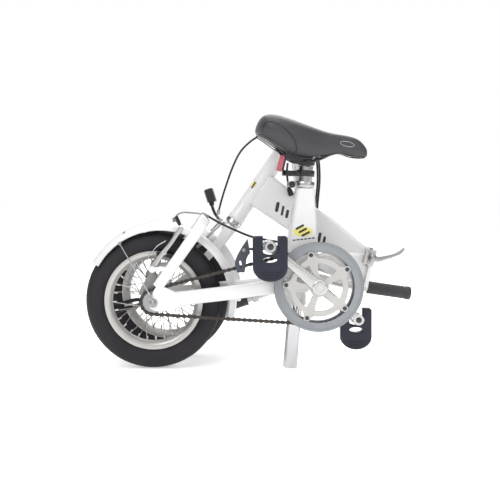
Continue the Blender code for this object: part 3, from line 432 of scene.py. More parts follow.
def cable(name, points, radius, body, mat="rubber", placement=REAR, replaces=(), count=48):
    curve = bpy.data.curves.new(name, "CURVE")
    curve.dimensions = "3D"
    curve.bevel_depth = radius
    curve.bevel_resolution = 4
    curve.use_fill_caps = True
    spline = curve.splines.new("POLY")
    path = smooth_path(points, count)
    spline.points.add(len(path) - 1)
    for point, place in zip(spline.points, path):
        point.co = (*place, 1)
    curve.materials.append(MATS[mat])
    return settle(bpy.data.objects.new(name, curve), body, placement, replaces)


def disc(radius, steps=96, centre=(0, 0), squash=1.0, turn=0.0):
    points = []
    for k in range(steps):
        x = radius * math.cos(2 * math.pi * k / steps)
        z = radius * squash * math.sin(2 * math.pi * k / steps)
        across = centre[0] + x * math.cos(turn) - z * math.sin(turn)
        points.append((across, centre[1] + x * math.sin(turn) + z * math.cos(turn)))
    return points


def slot_outline(start, end, radius, steps=10):
    """A round-ended slot between two (x, z) points."""
    start, end = Vector(start), Vector(end)
    along = math.atan2((end - start).y, (end - start).x)
    points = []
    for centre, zero in ((end, along - math.pi / 2), (start, along + math.pi / 2)):
        for k in range(steps + 1):
            a = zero + math.pi * k / steps
            points.append((centre.x + radius * math.cos(a), centre.y + radius * math.sin(a)))
    return points


# ---------------------------------------------------------------- wheels
def mirrored(half):
    """A closed profile from one half of it, as (distance along axis, radius)."""
    return [(-y, r) for y, r in half] + [(y, r) for y, r in reversed(half)]


def tyre(end, body, placement):
    half = mm(
        (12, 115.8), (17.5, 119.5), (22.2, 125.5), (24.5, 133), (24.9, 140), (23.6, 146.5), (21.2, 150)
    )
    half += mm((20.5, 152), (18.8, 153.8), (16, 156.2), (12, 158.4), (9.5, 159.2), (8.8, 158), (7.6, 158))
    half += mm((6.9, 159.9), (3, 160.8), (2.2, 159.6))
    shape = Shape().ring((0, 0, 0), Y, mirrored(half), 128)
    show(f"{end}_tyre_detail", shape, body, "tyre", placement, [f"{end}_tyre"])


def rim_and_spokes(end, body, placement):
    half = mm((14.5, 115.8), (14.3, 116.4), (12.5, 115.8), (11.8, 112))
    inner = mm((14.5, 107), (13.5, 105), (10, 101), (7, 98), (4, 97.5))
    profile = mirrored(half) + [(y, r) for y, r in inner] + [(-y, r) for y, r in reversed(inner)]
    rim = Shape().ring((0, 0, 0), Y, profile, 128)
    spokes = Shape()
    for k in range(SPOKES):
        flange = HUB_FLANGE_Y if k % 2 else -HUB_FLANGE_Y
        lead = 1 if (k // 2) % 2 else -1
        at_rim = 2 * math.pi * (k + 0.25) / SPOKES
        at_hub = at_rim + lead * SPOKE_LEAD
        start = Vector((math.cos(at_hub) * SPOKE_HOLE_R, flange, math.sin(at_hub) * SPOKE_HOLE_R))
        outward = Vector((math.cos(at_rim), 0, math.sin(at_rim)))
        finish = outward * 0.0985 + Y * flange * 0.1
        spokes.rod(start, finish, 0.001, 8)
        rim.rod(finish - outward * 0.0105, finish, 0.0019, 8)
    show(f"{end}_rim_detail", rim, body, "rim", placement, [f"{end}_rim"])
    return spokes


def wheel(end, body, placement):
    """Tyre, rim, spokes and hub in coordinates centred on the axle."""
    tyre(end, body, placement)
    spokes = rim_and_spokes(end, body, placement)
    half = mm(
        (33, 5.6), (33, 8.8), (29, 9.2), (28, 12), (27.8, 21.2), (26.8, 21.8), (25, 21.8), (24.2, 20.8)
    )
    half += mm((23, 14), (19, 11.2))
    hub = Shape().ring((0, 0, 0), Y, mirrored(half), 40)
    show(f"{end}_hub_shell", hub, body, "silver", placement, [f"{end}_hub"])
    show(f"{end}_spokes", spokes, body, "wire", placement)


def fender(name, body, placement, centre, low, high, stands_for):
    """A mudguard: a crowned section with rolled lips, turned between two angles."""
    outer = []
    for k in range(13):
        across = -1 + k / 6
        outer.append((FENDER_HALF * across, FENDER_R - 0.001 - 0.0165 * abs(across) ** 3.2))
    lip = [(FENDER_HALF * 0.965, FENDER_R - 0.0188), (FENDER_HALF * 0.93, FENDER_R - 0.0176)]
    inner = [(y * 0.945, radius - 0.0022) for y, radius in reversed(outer)]
    profile = outer + lip + inner + [(-y, radius) for y, radius in reversed(lip)]
    shape = Shape().ring(centre, -Y, profile, 72, low, high)
    show(name, shape, body, "paint", placement, [stands_for], sharp=50)


def axle_nuts(name, body, placement, centre, reach, stands_for, mat="steel"):
    shape = Shape().rod(centre - Y * (reach + 0.009), centre + Y * (reach + 0.009), 0.0046)
    for side in (-1, 1):
        shape.bolt(centre + Y * side * reach, Y * side, 0.008, 0.0075)
        shape.turned(centre + Y * side * (reach + 0.0088), Y * side, mm((0, 4.6), (1.5, 3)), 16)
    show(name, shape, body, mat, placement, stands_for)


# ---------------------------------------------------------------- rear frame
def seat_tube():
    """A tube whose width follows the frame: rounded rectangles from back to front at each height."""
    half_width, corner = 0.022, 0.0095
    levels = mm((150, 311, 360.5), (214, 311.5, 360.5), (226, 312, 368), (242, 314, 389.5))
    levels += mm((300, 318, 388.5), (360, 328, 385), (425, 338.5, 381))
    made = []
    for z, back, front in levels:
        half = (front - back) / 2
        section = rounded(half, half_width, corner, 6)
        made.append([Vector((back + half + s, t, z)) for s, t in section])
    shape = Shape().rings(made)
    shape.ring(post_point(0.4175), POST_AXIS, mm((0, 17.6), (8.5, 17.6), (8.5, 21.2), (0, 21.2)), 48)
    show("seat_tube_shell", shape, "rear_frame", "paint", REAR, ["seat_tube"], sharp=40)


def chainstay(side, name):
    """One stay and the dropout plate at its end."""
    path = mm((14, side * 53, 163), (34, side * 51.8, 166), (60, side * 50, 170), (190, side * 45, 184.5))
    path += mm((265, side * 31.5, 193), (310, side * 30, 195), (362, side * 30, 198))
    sizes = mm((20.5, 3), (19, 5.2), (17.2, 6.8), (16.5, 7.6), (16.5, 8), (16.5, 8), (15, 8))
    shape = Shape().tube(path, sizes, 36, corner=0.007)
    show(name + "_tube", shape, "rear_frame", "paint", REAR, [name], sharp=45)
    outline = mm(
        (-9, 156), (-8.5, 170), (-2, 179), (1, 188), (7, 197.5), (30, 196.5), (42, 190.5), (56, 184)
    )
    outline += mm((64, 178), (64, 158), (56, 149), (42, 143), (20, 141), (4, 142.5), (-5, 147))
    spot = REAR @ Matrix.Translation((0, side * 0.053, 0))
    axle_hole = disc(0.0056, 24, (0, WHEEL_R))
    plate(name + "_dropout", [outline, axle_hole], 0.0029, 0.0008, "rear_frame", "paint", spot)


def rear_triangle():
    chainstay(-1, "right_chainstay")
    chainstay(1, "left_chainstay")
    ear = Shape().swept(mm((-10, 53, 156), (-33, 53, 147)), (0.011, 0.0025), corner=0.002)
    ear.rod((-0.022, 0.052, 0.15), (-0.022, 0.0705, 0.15), 0.004)
    ear.bolt((-0.022, 0.07, 0.15), Y, 0.005, 0.0035)
    show("kickstand_ear", ear, "rear_frame", "paint", REAR)
    shell = mm((-34, 10), (34, 10), (34, 20.5), (33.5, 21), (-33.5, 21), (-34, 20.5))
    cups = Shape().ring(BB, Y, shell, 56)
    show("bottom_bracket_tube", cups, "rear_frame", "paint", REAR, ["bottom_bracket_shell"])


def brake_arch():
    half = mm(
        (9.5, -53, 195.5), (30, -52.8, 224), (60, -52.5, 266), (105, -50, 330), (115, -43, 345),
        (119.5, -25, 352)
    )
    path = half + [(x, -y, z) for x, y, z in reversed(half)]
    leg = mm((12.5, 3.4), (13, 4.5), (13, 5.8), (13.5, 6.8), (13.5, 7.5), (13.5, 7.5))
    count = 66
    line = smooth_path(path, count)
    sizes = smooth_sizes(leg + leg[::-1], count)
    lengthways = Vector((0.7, 0, -0.714)).normalized()
    made = []
    for i, p in enumerate(line):
        tangent = (line[min(i + 1, count)] - line[max(i - 1, 0)]).normalized()
        inward = tangent.cross(lengthways).normalized()
        a, b = sizes[i]
        made.append([p + lengthways * s + inward * t for s, t in rounded(a, b, min(0.0048, a, b), 4)])
    shape = Shape().rings(made)
    for side in (-1, 1):
        boss = Vector((-0.002, side * 0.056, 0.238))
        lug = [(0.04, side * 0.053, 0.24), (-0.002, side * 0.053, 0.238)]
        shape.swept(lug, (0.0052, 0.0028), corner=0.0025)
        shape.rod(boss, (-0.002, side * 0.0465, 0.238), 0.0078)
        shape.bolt(boss, Y * side, 0.0042, 0.003)
    show("brake_arch_tube", shape, "rear_frame", "paint", REAR, ["brake_arch"], sharp=45)


def hinge_leaf(name, body, placement, pin, outline, half_thick, knuckles, stands_for, edge):
    """A frame tube with its hinge plate and knuckles."""
    plate(name, [outline], half_thick, edge, body, "paint", placement, [stands_for])
    away = 1 if pin.y > 0 else -1
    middle = Vector((pin.x, 0, pin.z))
    axes = (HINGE_AXIS, HINGE_FACE)
    shape = Shape().block(middle - HINGE_FACE * 0.0053, axes, (0.045, 0.005, 0.029))
    for low, high in knuckles:
        at = middle + HINGE_AXIS * (low + high) / 2
        shape.block(
            at + Y * away * 0.0325 - HINGE_FACE * 0.005, axes, ((high - low) / 2 - 0.0003, 0.0042, 0.0075)
        )
    show(name + "_plate", shape, body, "paint", placement, bevel=0.0012)
    shape = Shape()
    for low, high in knuckles:
        profile = [
            (low, 0.0049), (low, 0.0089), (low + 0.0006, 0.0095), (high - 0.0006, 0.0095), (high, 0.0089)
        ]
        shape.ring(pin, HINGE_AXIS, profile + [(high, 0.0049)], 32)
    for t in (-0.03, 0.03):
        shape.bolt(
            middle + HINGE_AXIS * t - Y * away * 0.02 - HINGE_FACE * 0.0002, HINGE_FACE, 0.0001, 0.0002
        )
    show(name + "_knuckles", shape, body, "paint", placement)


def hinge_edge(low, high):
    middle = HINGE - HINGE_FACE * 0.004
    return [((middle + HINGE_AXIS * t).x, (middle + HINGE_AXIS * t).z) for t in (low, high)]


def main_hinge():
    stub = [(0.385, 0.233), (0.412, 0.2225), (0.44, 0.208), *hinge_edge(-0.034, 0.034)]
    stub += mm((440, 274), (385, 268))
    knuckles = mm((-43, -14.5), (14.5, 43))
    hinge_leaf("main_stub_tube", "rear_frame", REAR, HINGE, stub, 0.02, knuckles, "main_stub", 0.006)
    half = mm((-47.5, 6), (-46.5, 7.5), (-44, 7.5), (-44, 4.2))
    pin = Shape().turned(HINGE, HINGE_AXIS, half + [(-t, r) for t, r in reversed(half)], 28)
    show("hinge_pin_turned", pin, "rear_frame", "chrome", REAR, ["hinge_pin"])
    latch()


def latch():
    """A cam block on the plate's near edge, its bolts and its long lever."""
    at = HINGE - Y * 0.071 - HINGE_FACE * 0.014 + HINGE_AXIS * 0.026
    shape = Shape().block(at, (HINGE_AXIS, HINGE_FACE), (0.018, 0.013, 0.005))
    show("latch_block", shape, "rear_frame", "silver", REAR, bevel=0.0018)
    shape = Shape().bolt(at - Y * 0.005 - HINGE_AXIS * 0.011, -Y, 0.0036, 0.003)
    shape.bolt(at - Y * 0.005 + HINGE_AXIS * 0.012 - HINGE_FACE * 0.003, -Y, 0.0028, 0.0025)
    shape.rod(at - HINGE_AXIS * 0.022, at + HINGE_AXIS * 0.022, 0.0036)
    show("latch_bolts", shape, "rear_frame", "steel", REAR)
    start = HINGE - Y * 0.0795 + HINGE_AXIS * 0.026
    cam = start - HINGE_FACE * 0.01 - Y * 0.0045
    steps = mm((4, -4.5, 0), (22, -5, 4), (40, -5, 9), (55, -5, 16), (64, -5, 25))
    lever = [cam] + [start + Vector(step) for step in steps]
    sizes = mm((7, 3.6), (6.2, 3.4), (4.6, 3), (4, 2.8), (4.2, 2.6), (3, 2.2))
    shape = Shape().tube(lever, sizes, 30, corner=0.0022)
    shape.turned(cam - HINGE_AXIS * 0.008, HINGE_AXIS, mm((0, 6), (1, 7), (15, 7), (16, 6)), 28)
    show("latch_lever", shape, "frame_latch_lever", "steel", REAR, ["frame_latch_lever"], sharp=45)


# ---------------------------------------------------------------- brakes
def rear_brake_arm(side, body):
    y = side * 0.0425
    path = mm((-2, 238), (6, 252), (22, 274), (40, 296), (56, 320), (66, 333))
    sizes = mm((8.8, 4.2), (7, 3.8), (5.8, 3.4), (5.2, 3.4), (5.4, 3.4), (6.4, 3.4))
    shape = Shape().tube([(x, y, z) for x, z in path], sizes, 30, corner=0.0028)
    shape.turned((-0.002, y - side * 0.0045, 0.238), Y * side, mm((0, 8.8), (9, 8.8)), 24)
    shape.bolt((0.066, y + side * 0.003, 0.332), Y * side, 0.0036, 0.003)
    shape.bolt((0.026, y + side * 0.003, 0.276), Y * side, 0.0042, 0.0035)
    shape.rod((0.026, y, 0.276), (0.026, side * 0.024, 0.272), 0.003)
    show(body + "_forging", shape, body, "silver", REAR, [body], sharp=45)
    arc = []
    for k in range(-6, 7):
        turned = Matrix.Rotation(math.radians(1.9 * k), 3, "Y") @ Vector((0.029, 0, 0.269 - WHEEL_R))
        arc.append(Vector((turned.x, side * 0.0215, turned.z + WHEEL_R)))
    shoe = Shape().swept(arc, (0.0046, 0.0044), corner=0.0015)
    show(body + "_shoe", shoe, body, "black", REAR, sharp=50)
    spring = mm(
        (-4, side * 47.5, 244), (-12, side * 48, 262), (8, side * 47.5, 290), (30, side * 45.5, 304)
    )
    cable(body + "_spring", spring, 0.001, body, "chrome", REAR, count=24)


def rear_cable():
    """The noodle over the arms, its boot and anchor, then the housing to the frame."""
    noodle = mm((53.5, -33, 361.5), (62, -30, 367.5), (74, -24, 369.5), (87, -18, 368.5), (103, -16, 367))
    noodle += mm((116, -16.5, 365))
    cable("brake_noodle", noodle, 0.0022, "rear_frame", "steel", REAR, count=36)
    profile = mm((0, 3), (2, 4.6), (8, 4.2), (12, 5), (18, 4.4), (24, 3.4))
    boot = Shape().turned((0.053, -0.0335, 0.361), (0.4, -0.1, -0.9), profile, 20)
    show("noodle_boot", boot, "rear_frame", "rubber", REAR)
    anchor = Shape().bolt((0.05, -0.037, 0.352), (-0.5, -0.8, 0.1), 0.0036, 0.0034)
    anchor.rod((0.052, -0.035, 0.356), (0.044, -0.036, 0.347), 0.0011, 8)
    anchor.rod((0.052, -0.035, 0.359), (0.042, -0.036, 0.354), 0.0011, 8)
    show("cable_anchor", anchor, "rear_frame", "steel", REAR)
    route = mm(
        (127, -17.2, 361), (138, -17.8, 354.5), (160, -17.5, 342), (195, -16.5, 326), (230, -15, 312)
    )
    route += mm((270, -13.5, 303), (315, -12, 296))
    cable("rear_brake_housing", route, 0.0026, "rear_frame", "rubber", REAR, ["rear_brake_cable"], 60)
    profile = mm((0, 3), (1, 4.2), (7, 4.2), (8, 5.2), (12, 5.2), (13, 3.6), (18, 3.6))
    stop = Shape().turned((0.114, -0.0165, 0.3665), (0.87, -0.02, -0.49), profile, 18)
    show("cable_stop", stop, "rear_frame", "steel", REAR)


def rear_brake():
    rear_brake_arm(-1, "rear_brake_arm_right")
    rear_brake_arm(1, "rear_brake_arm_left")
    rear_cable()


def front_brake_arm(side, body, crown, out, along):
    """A caliper arm that runs out from the crown bolt and down to its shoe."""
    offset = 0.031 if side > 0 else 0.0225
    base = crown + along * offset
    outward = Y * side
    drop = (crown - FRONT_AXLE).length - math.sqrt(SHOE_R**2 - offset**2)
    path = [base - outward * 0.018, base, base + outward * 0.024, base + outward * 0.0375 - out * 0.012]
    path += [base + outward * 0.0405 - out * 0.05, base + outward * 0.04 - out * (drop + 0.002)]
    line = smooth_path(path, 40)
    made = []
    for i, p in enumerate(line):
        tangent = (line[min(i + 1, 40)] - line[max(i - 1, 0)]).normalized()
        across = tangent.cross(along).normalized()
        made.append([p + along * s + across * t for s, t in rounded(0.0035, 0.0048, 0.0024, 3)])
    shape = Shape().rings(made)
    shoe = base - out * drop
    shape.rod(shoe + outward * 0.0445, shoe + outward * 0.0245, 0.003)
    shape.bolt(shoe + outward * 0.0445, outward, 0.0042, 0.0035)
    show(body + "_forging", shape, body, "silver", FRONT, [body], sharp=50)
    radial = (shoe - FRONT_AXLE).normalized()
    block = Shape().block(shoe + outward * 0.0215, (radial.cross(Y), radial), (0.018, 0.0042, 0.004))
    show(body + "_shoe", block, body, "black", FRONT, bevel=0.0012)


def front_brake():
    crown = head_point(-0.016)
    out = (crown - FRONT_AXLE).normalized()
    along = out.cross(Y).normalized()
    front_brake_arm(-1, "front_brake_arm_right", crown, out, along)
    front_brake_arm(1, "front_brake_arm_left", crown, out, along)
    bolt = Shape().rod(crown + along * 0.008, crown + along * 0.0365, 0.003)
    bolt.bolt(crown + along * 0.0345, along, 0.004, 0.0035)
    show("caliper_bolt", bolt, "fork", "steel", FRONT)


# ---------------------------------------------------------------- drive train
def toothed(teeth, root, tip, phase=0.0):
    """The outline of a sprocket with rounded teeth."""
    points = []
    for k in range(teeth * 6):
        wave = 0.5 - 0.5 * math.cos(2 * math.pi * (k % 6) / 6)
        radius = root + (tip - root) * wave**0.7
        angle = 2 * math.pi * k / (teeth * 6) + phase
        points.append((radius * math.cos(angle), radius * math.sin(angle)))
    return points


def spider_outline():
    """The outer edge: a rim with a lug at each chainring bolt."""
    half_lug = mm((66.5, -14), (73.5, -8.5), (80.5, -7), (83.8, -4))
    lug = half_lug + [(r, -w) for r, w in reversed(half_lug)]
    points = []
    for k in range(ARMS):
        a = lug_angle(k)
        out = Vector((math.cos(a), math.sin(a)))
        across = Vector((-out.y, out.x))
        points += [out * r + across * w for r, w in lug]
        for step in range(1, 8):
            turn = a + math.radians(12 + 48 * step / 8)
            points.append(Vector((math.cos(turn), math.sin(turn))) * 0.068)
    return [tuple(p) for p in points]


def lug_angle(k):
    return CRANK_ANGLE + math.radians(36 + 72 * k)


def crank_out(side):
    """The way from the bottom bracket to a crank's end."""
    angle = CRANK_ANGLE if side < 0 else CRANK_ANGLE + math.pi
    return Vector((math.cos(angle), 0, math.sin(angle)))


def spider_window(k, outer=0.0545, inner=0.0235, arm=0.0074):
    """The opening between two arms: an arc at the rim, straight sides along the arms and a rounded foot."""
    middle = CRANK_ANGLE + math.radians(72 * k)
    half = math.radians(36)
    points = []
    reach = half - math.asin(arm / outer) - 0.07
    for step in range(-6, 7):
        turn = middle + reach * step / 6
        points.append((outer * math.cos(turn), outer * math.sin(turn)))
    for side, order in ((1, (0.05, 0.038, 0.027, inner)), (-1, (inner, 0.027, 0.038, 0.05))):
        for r in order:
            turn = middle + side * max(half - math.asin(arm / r) - (0.04 if r > 0.04 else 0.0), 0.06)
            points.append((r * math.cos(turn), r * math.sin(turn)))
    return points


def chainwheel():
    at = REAR @ Matrix.Translation(BB + Y * CHAIN_Y)
    teeth = toothed(44, CHAINRING_R - 0.0046, CHAINRING_R + 0.001)
    plate("chainring_teeth", [teeth, disc(0.079)], 0.0014, 0.0005, "crankset", "steel", at, ["chainring"])
    at = REAR @ Matrix.Translation(BB - Y * 0.0557)
    guard = [disc(GUARD_R, 160), disc(0.083, 120)]
    plate("guard_ring_disc", guard, 0.0015, 0.0007, "crankset", "guard", at, ["guard_ring"])
    lip = mm((-58.8, 99), (-57.2, 98.5), (-57.2, 104), (-56, 104), (-56, 103.6), (-58.5, 102))
    show("guard_ring_lip", Shape().ring(BB, Y, lip, 160), "crankset", "guard", REAR, sharp=60)


def freewheel():
    at = REAR @ Matrix.Translation(REAR_AXLE + Y * (CHAIN_Y + 0.002))
    outlines = [toothed(14, SPROCKET_R - 0.0046, SPROCKET_R + 0.0006), disc(0.0098, 32)]
    plate("sprocket", outlines, 0.0016, 0.0004, "freewheel", "steel", at, ["freewheel"])
    body = Shape().ring(REAR_AXLE, Y, mm((-41.5, 10), (-34.5, 10), (-34.5, 19), (-40.5, 19)), 40)
    show("freewheel_body", body, "freewheel", "steel", REAR)


def crank(side, name):
    """An arm with the boss on its axle and the eye for its pedal."""
    out, outward = crank_out(side), Y * side
    steps = mm((-6, 65.5), (20, 66), (60, 66.5), (110, 66.5), (152, 66.5))
    path = [BB + out * t + outward * y for t, y in steps]
    sizes = mm((15, 5.8), (14, 6), (11.2, 6), (10, 5.8), (11.2, 5.5))
    shape = Shape().tube(path, sizes, 30, corner=0.004)
    boss = mm((0, 17.5), (1, 18.5), (13.5, 18), (15.5, 16.5), (16, 12), (15, 11.5), (15, 8.5), (15.8, 8))
    shape.turned(BB + outward * 0.0575, outward, boss, 40)
    end = BB + out * CRANK_LENGTH
    shape.turned(end + outward * 0.0595, outward, mm((0, 12.8), (1, 13.5), (11.5, 13.5), (12.7, 12)), 36)
    show(name + "_forging", shape, "crankset", "alloy", REAR, [name], sharp=50)
    if side > 0:
        stud = Shape().turned(end + Y * 0.06, -Y, mm((0, 7.2), (2.4, 7), (3.2, 5.6)), 24)
        show("left_spindle_end", stud, "crankset", "ink", REAR)


def spider():
    at = REAR @ Matrix.Translation(BB - Y * 0.06)
    windows = [disc(0.012, 40)] + [spider_window(k) for k in range(ARMS)]
    plate("spider", [spider_outline()] + windows, 0.002, 0.001, "crankset", "spider", at)
    bolts = Shape()
    for k in range(ARMS):
        a = lug_angle(k)
        spot = BB + Vector((math.cos(a), 0, math.sin(a))) * 0.0765 - Y * 0.061
        bolts.turned(spot, -Y, mm((0, 4.8), (2.4, 4.8), (3.1, 4)), 20)
    show("chainring_bolts", bolts, "crankset", "ink", REAR)


def drive_train():
    chainwheel()
    freewheel()
    axle = Shape().rod(BB - Y * 0.0572, BB + Y * 0.0572, 0.0085, 28)
    show("crank_axle", axle, "crankset", "steel", REAR, ["bottom_bracket_axle"])
    crank(-1, "right_crank")
    crank(1, "left_crank")
    spider()
    chain()
    chain_guide()


def chain_path():
    """The pitch line: round the chainring and the sprocket, with straight runs between."""
    centres = BB - REAR_AXLE
    slope = math.atan2(centres.z, centres.x)
    lean = math.acos((SPROCKET_R - CHAINRING_R) / math.hypot(centres.x, centres.z))
    wraps = (
        (BB, CHAINRING_R, slope - lean, 2 * lean, 72),
        (REAR_AXLE, SPROCKET_R, slope + lean, 2 * (math.pi - lean), 36)
    )
    points = []
    for centre, radius, start, sweep, steps in wraps:
        for k in range(steps + 1):
            a = start + sweep * k / steps
            points.append(Vector((centre.x + radius * math.cos(a), centre.z + radius * math.sin(a))))
    return points + points[:1]


def chain():
    path = chain_path()
    lengths = [0.0]
    for a, b in zip(path, path[1:]):
        lengths.append(lengths[-1] + (b - a).length)
    count = 2 * round(lengths[-1] / PITCH / 2)
    pins = []
    i = 0
    for k in range(count + 1):
        want = lengths[-1] * k / count
        while i < len(path) - 2 and lengths[i + 1] < want:
            i += 1
        pins.append(path[i].lerp(path[i + 1], (want - lengths[i]) / (lengths[i + 1] - lengths[i])))
    shape = Shape()
    for k, (a, b) in enumerate(zip(pins, pins[1:])):
        for side in (-1, 1):
            y = CHAIN_Y + side * (0.003 if k % 2 else 0.0019)
            outline = link_outline(a, b)
            shape.rings([[Vector((x, y + w, z)) for x, z in outline] for w in (-0.0005, 0.0005)])
        shape.turned((a.x, CHAIN_Y - 0.0036, a.y), Y, mm((0, 1.6), (7.2, 1.6)), 8)
        shape.turned((a.x, CHAIN_Y - 0.0015, a.y), Y, mm((0, 3.8), (3, 3.8)), 10)
    show("chain_links", shape, "rear_frame", "chain", REAR, ["chain"])


def link_outline(a, b):
    """A link plate: two round ends and a waist."""
    along = (b - a).normalized()
    across = Vector((-along.y, along.x))
    half = (b - a).length / 2
    middle = (a + b) / 2
    points = [(half + 0.0043, 0), (half + 0.003, 0.0031), (half, 0.0043), (half - 0.003, 0.0036)]
    points.append((0, 0.0025))
    whole = points + [(-x, w) for x, w in reversed(points[:-1])]
    whole += [(-x, -w) for x, w in points[1:]] + [(x, -w) for x, w in reversed(points[1:-1])]
    return [tuple(middle + along * x + across * w) for x, w in whole]


def chain_guide():
    leaf = mm((219.7, 309), (208, 292.5), (196.9, 273.7), (191.5, 261), (190, 250), (192.5, 240))
    leaf += mm((195, 231.2), (212.9, 230.8), (215, 245), (216.9, 262), (220.5, 270), (225.2, 275.3))
    holes = [slot_outline((0.2025, 0.256), (0.2045, 0.244), 0.0022), disc(0.002, 20, (0.211, 0.283))]
    at = REAR @ Matrix.Translation((0, -0.0512, 0))
    plate("chain_guide_plate", [leaf] + holes, 0.0017, 0.0006, "rear_frame", "dark", at, ["chain_guide"])
    arm = mm((209, -50, 285), (250, -43, 285), (290, -22, 283), (314.5, -10, 282))
    shape = Shape().swept(smooth_path(arm, 20), (0.0034, 0.003), up=(0, 0, 1), corner=0.001)
    shape.bolt((0.211, -0.0529, 0.283), -Y, 0.003, 0.0025)
    show("chain_guide_arm", shape, "rear_frame", "steel", REAR, sharp=50)


# ---------------------------------------------------------------- pedals
def pedal_spindle(side, spin, end, fold):
    outward = Y * side
    shape = Shape().rod(end + outward * 0.0726, fold, 0.0064, 28)
    shape.turned(end + outward * 0.074, outward, mm((0, 9.5), (4, 9.5), (5, 8.8)), 6)
    knuckle = mm((0, 12.5), (1, 13.5), (18, 13.5), (19, 12.5), (19, 7.5), (17.5, 7))
    shape.turned(fold - outward * 0.0095, outward, knuckle, 36)
    shape.rod(fold - Vector((0.03, 0, 0)), fold + Vector((0.03, 0, 0)), 0.003)
    show(spin + "_knuckle", shape, spin, "chrome", REAR, [spin], sharp=45)
    cap = Shape().turned(fold + outward * 0.0078, outward, mm((0, 7.2), (2.2, 7), (3, 5.5)), 24)
    cap.turned(fold - outward * 0.009, -outward, mm((0, 7.5), (1.6, 7.5), (2.2, 6.5)), 24)
    show(spin + "_cap", cap, spin, "ink", REAR)


def pedal_outline():
    """A platform with a slot for the knuckle at the top and a round foot."""
    points = mm((35, 24), (17, 24), (17, -10))
    for k in range(1, 10):
        a = math.pi * k / 10
        points.append((0.017 * math.cos(a), -0.01 - 0.0085 * math.sin(a)))
    points += mm((-17, -10), (-17, 24), (-35, 24), (-39, 20), (-39, -48))
    for k in range(1, 16):
        a = math.pi * k / 16
        points.append((-0.039 * math.cos(a), -0.048 - 0.031 * math.sin(a)))
    return points + mm((39, -48), (39, 20))


def pedal_ridges(name, fold):
    """Curved treads and round studs on both faces."""
    ridges = Shape()
    for face in (-1, 1):
        for k in range(3):
            z = -0.056 - 0.0065 * k
            reach = 0.028 - 0.005 * k
            arc = [
                fold + Vector((reach * t, face * 0.0103, z - 0.004 * (1 - t * t)))
                for t in (-1, -0.5, 0, 0.5, 1)
            ]
            ridges.tube(arc, (0.0013, 0.0012), 14, corner=0.0005)
        for x in (-0.028, 0.028):
            for z in (0.014, -0.03):
                ridges.rod(
                    fold + Vector((x, face * 0.01, z)), fold + Vector((x, face * 0.0112, z)), 0.0035
                )
    show(name + "_ridges", ridges, name, "pedal", REAR)


def pedals():
    for side, word in ((-1, "right"), (1, "left")):
        end = BB + crank_out(side) * CRANK_LENGTH
        fold = end + Y * side * 0.1
        name = f"{word}_pedal"
        pedal_spindle(side, name + "_spindle", end, fold)
        outlines = [pedal_outline(), disc(0.0165, 32, (0, -0.03), 0.4)]
        at = REAR @ Matrix.Translation(fold)
        plate(name + "_platform", outlines, 0.01, 0.003, name, "pedal", at, [name])
        pedal_ridges(name, fold)


# ---------------------------------------------------------------- seat
def seat_post():
    length, edge = 0.4791, 0.001
    profile = [(0, POST_R - edge), (edge, POST_R), (length - edge, POST_R), (length, POST_R)]
    post = Shape().turned(POST_FOOT, POST_AXIS, profile, 64)
    show("seat_post_tube", post, "seat_post", "chrome", REAR, ["seat_post"])
    rings = Shape()
    for k in range(3):
        mark = [(0, POST_R + 0.0001), (0.0008, POST_R + 0.0001)]
        rings.turned(post_point(0.118 + 0.003 * k), POST_AXIS, mark, 48)
    show("post_limit_mark", rings, "seat_post", "steel", REAR)


def saddle_clamp():
    top = post_point(0.48)
    clamp = Shape().turned(
        top, POST_AXIS, mm((0, 13), (0.8, 19.2), (6, 20.5), (12.5, 19.5), (14, 16.5)), 36
    )
    centre = top + Vector((0.001, 0, 0.009))
    clamp.rod(centre - Y * 0.024, centre + Y * 0.024, 0.0068)
    for side in (-1, 1):
        clamp.turned(centre + Y * side * 0.0125, Y * side, mm((0, 12.5), (7, 12.5), (8, 11)), 28)
        clamp.bolt(centre + Y * side * 0.0235, Y * side, 0.005, 0.004)
    show("saddle_clamp_body", clamp, "seat_post", "black", REAR, ["saddle_clamp"])
    path = mm((312, 0, 508), (330, 0, 500), (352, 0, 498.5), (378, 0, 504))
    base = Shape().tube(path, mm((6, 30), (10, 27), (10.5, 24), (5, 18)), 16, corner=0.006)
    show("saddle_base", base, "seat_post", "black", REAR, sharp=60)


def rear_reflector():
    inner, outer = POST_R + 0.0003, 0.0205
    band = [(-0.0072, inner), (0.0072, inner), (0.0072, outer)]
    band += [(0.0062, outer + 0.001), (-0.0062, outer + 0.001), (-0.0072, outer)]
    shape = Shape().ring(post_point(0.4615), POST_AXIS, band, 48)
    arm = mm((342, 0, 461.3), (324, 0, 461.3), (306, 0, 462.5))
    shape.swept(arm, (0.006, 0.0066), up=(0, 0, 1), corner=0.0022)
    tab = mm((313, 0, 460), (306.5, 0, 470), (307.5, 0, 486))
    shape.swept(tab, (0.003, 0.006), corner=0.001)
    shape.bolt((0.339, -0.0215, 0.4613), -Y, 0.0034, 0.0028)
    show("reflector_strap", shape, "seat_post", "black", REAR, ["reflector_bracket"], sharp=50)
    axes = (Vector((0.97, 0, -0.24)), Y)
    lens = Shape().block((0.3, 0, 0.485), axes, (0.0062, 0.0235, 0.0198))
    show("rear_reflector_lens", lens, "seat_post", "red", REAR, ["rear_reflector"], bevel=0.0022)
    case = Shape().block((0.3085, 0, 0.4868), axes, (0.0026, 0.0225, 0.0195))
    show("rear_reflector_case", case, "seat_post", "black", REAR, bevel=0.0012)


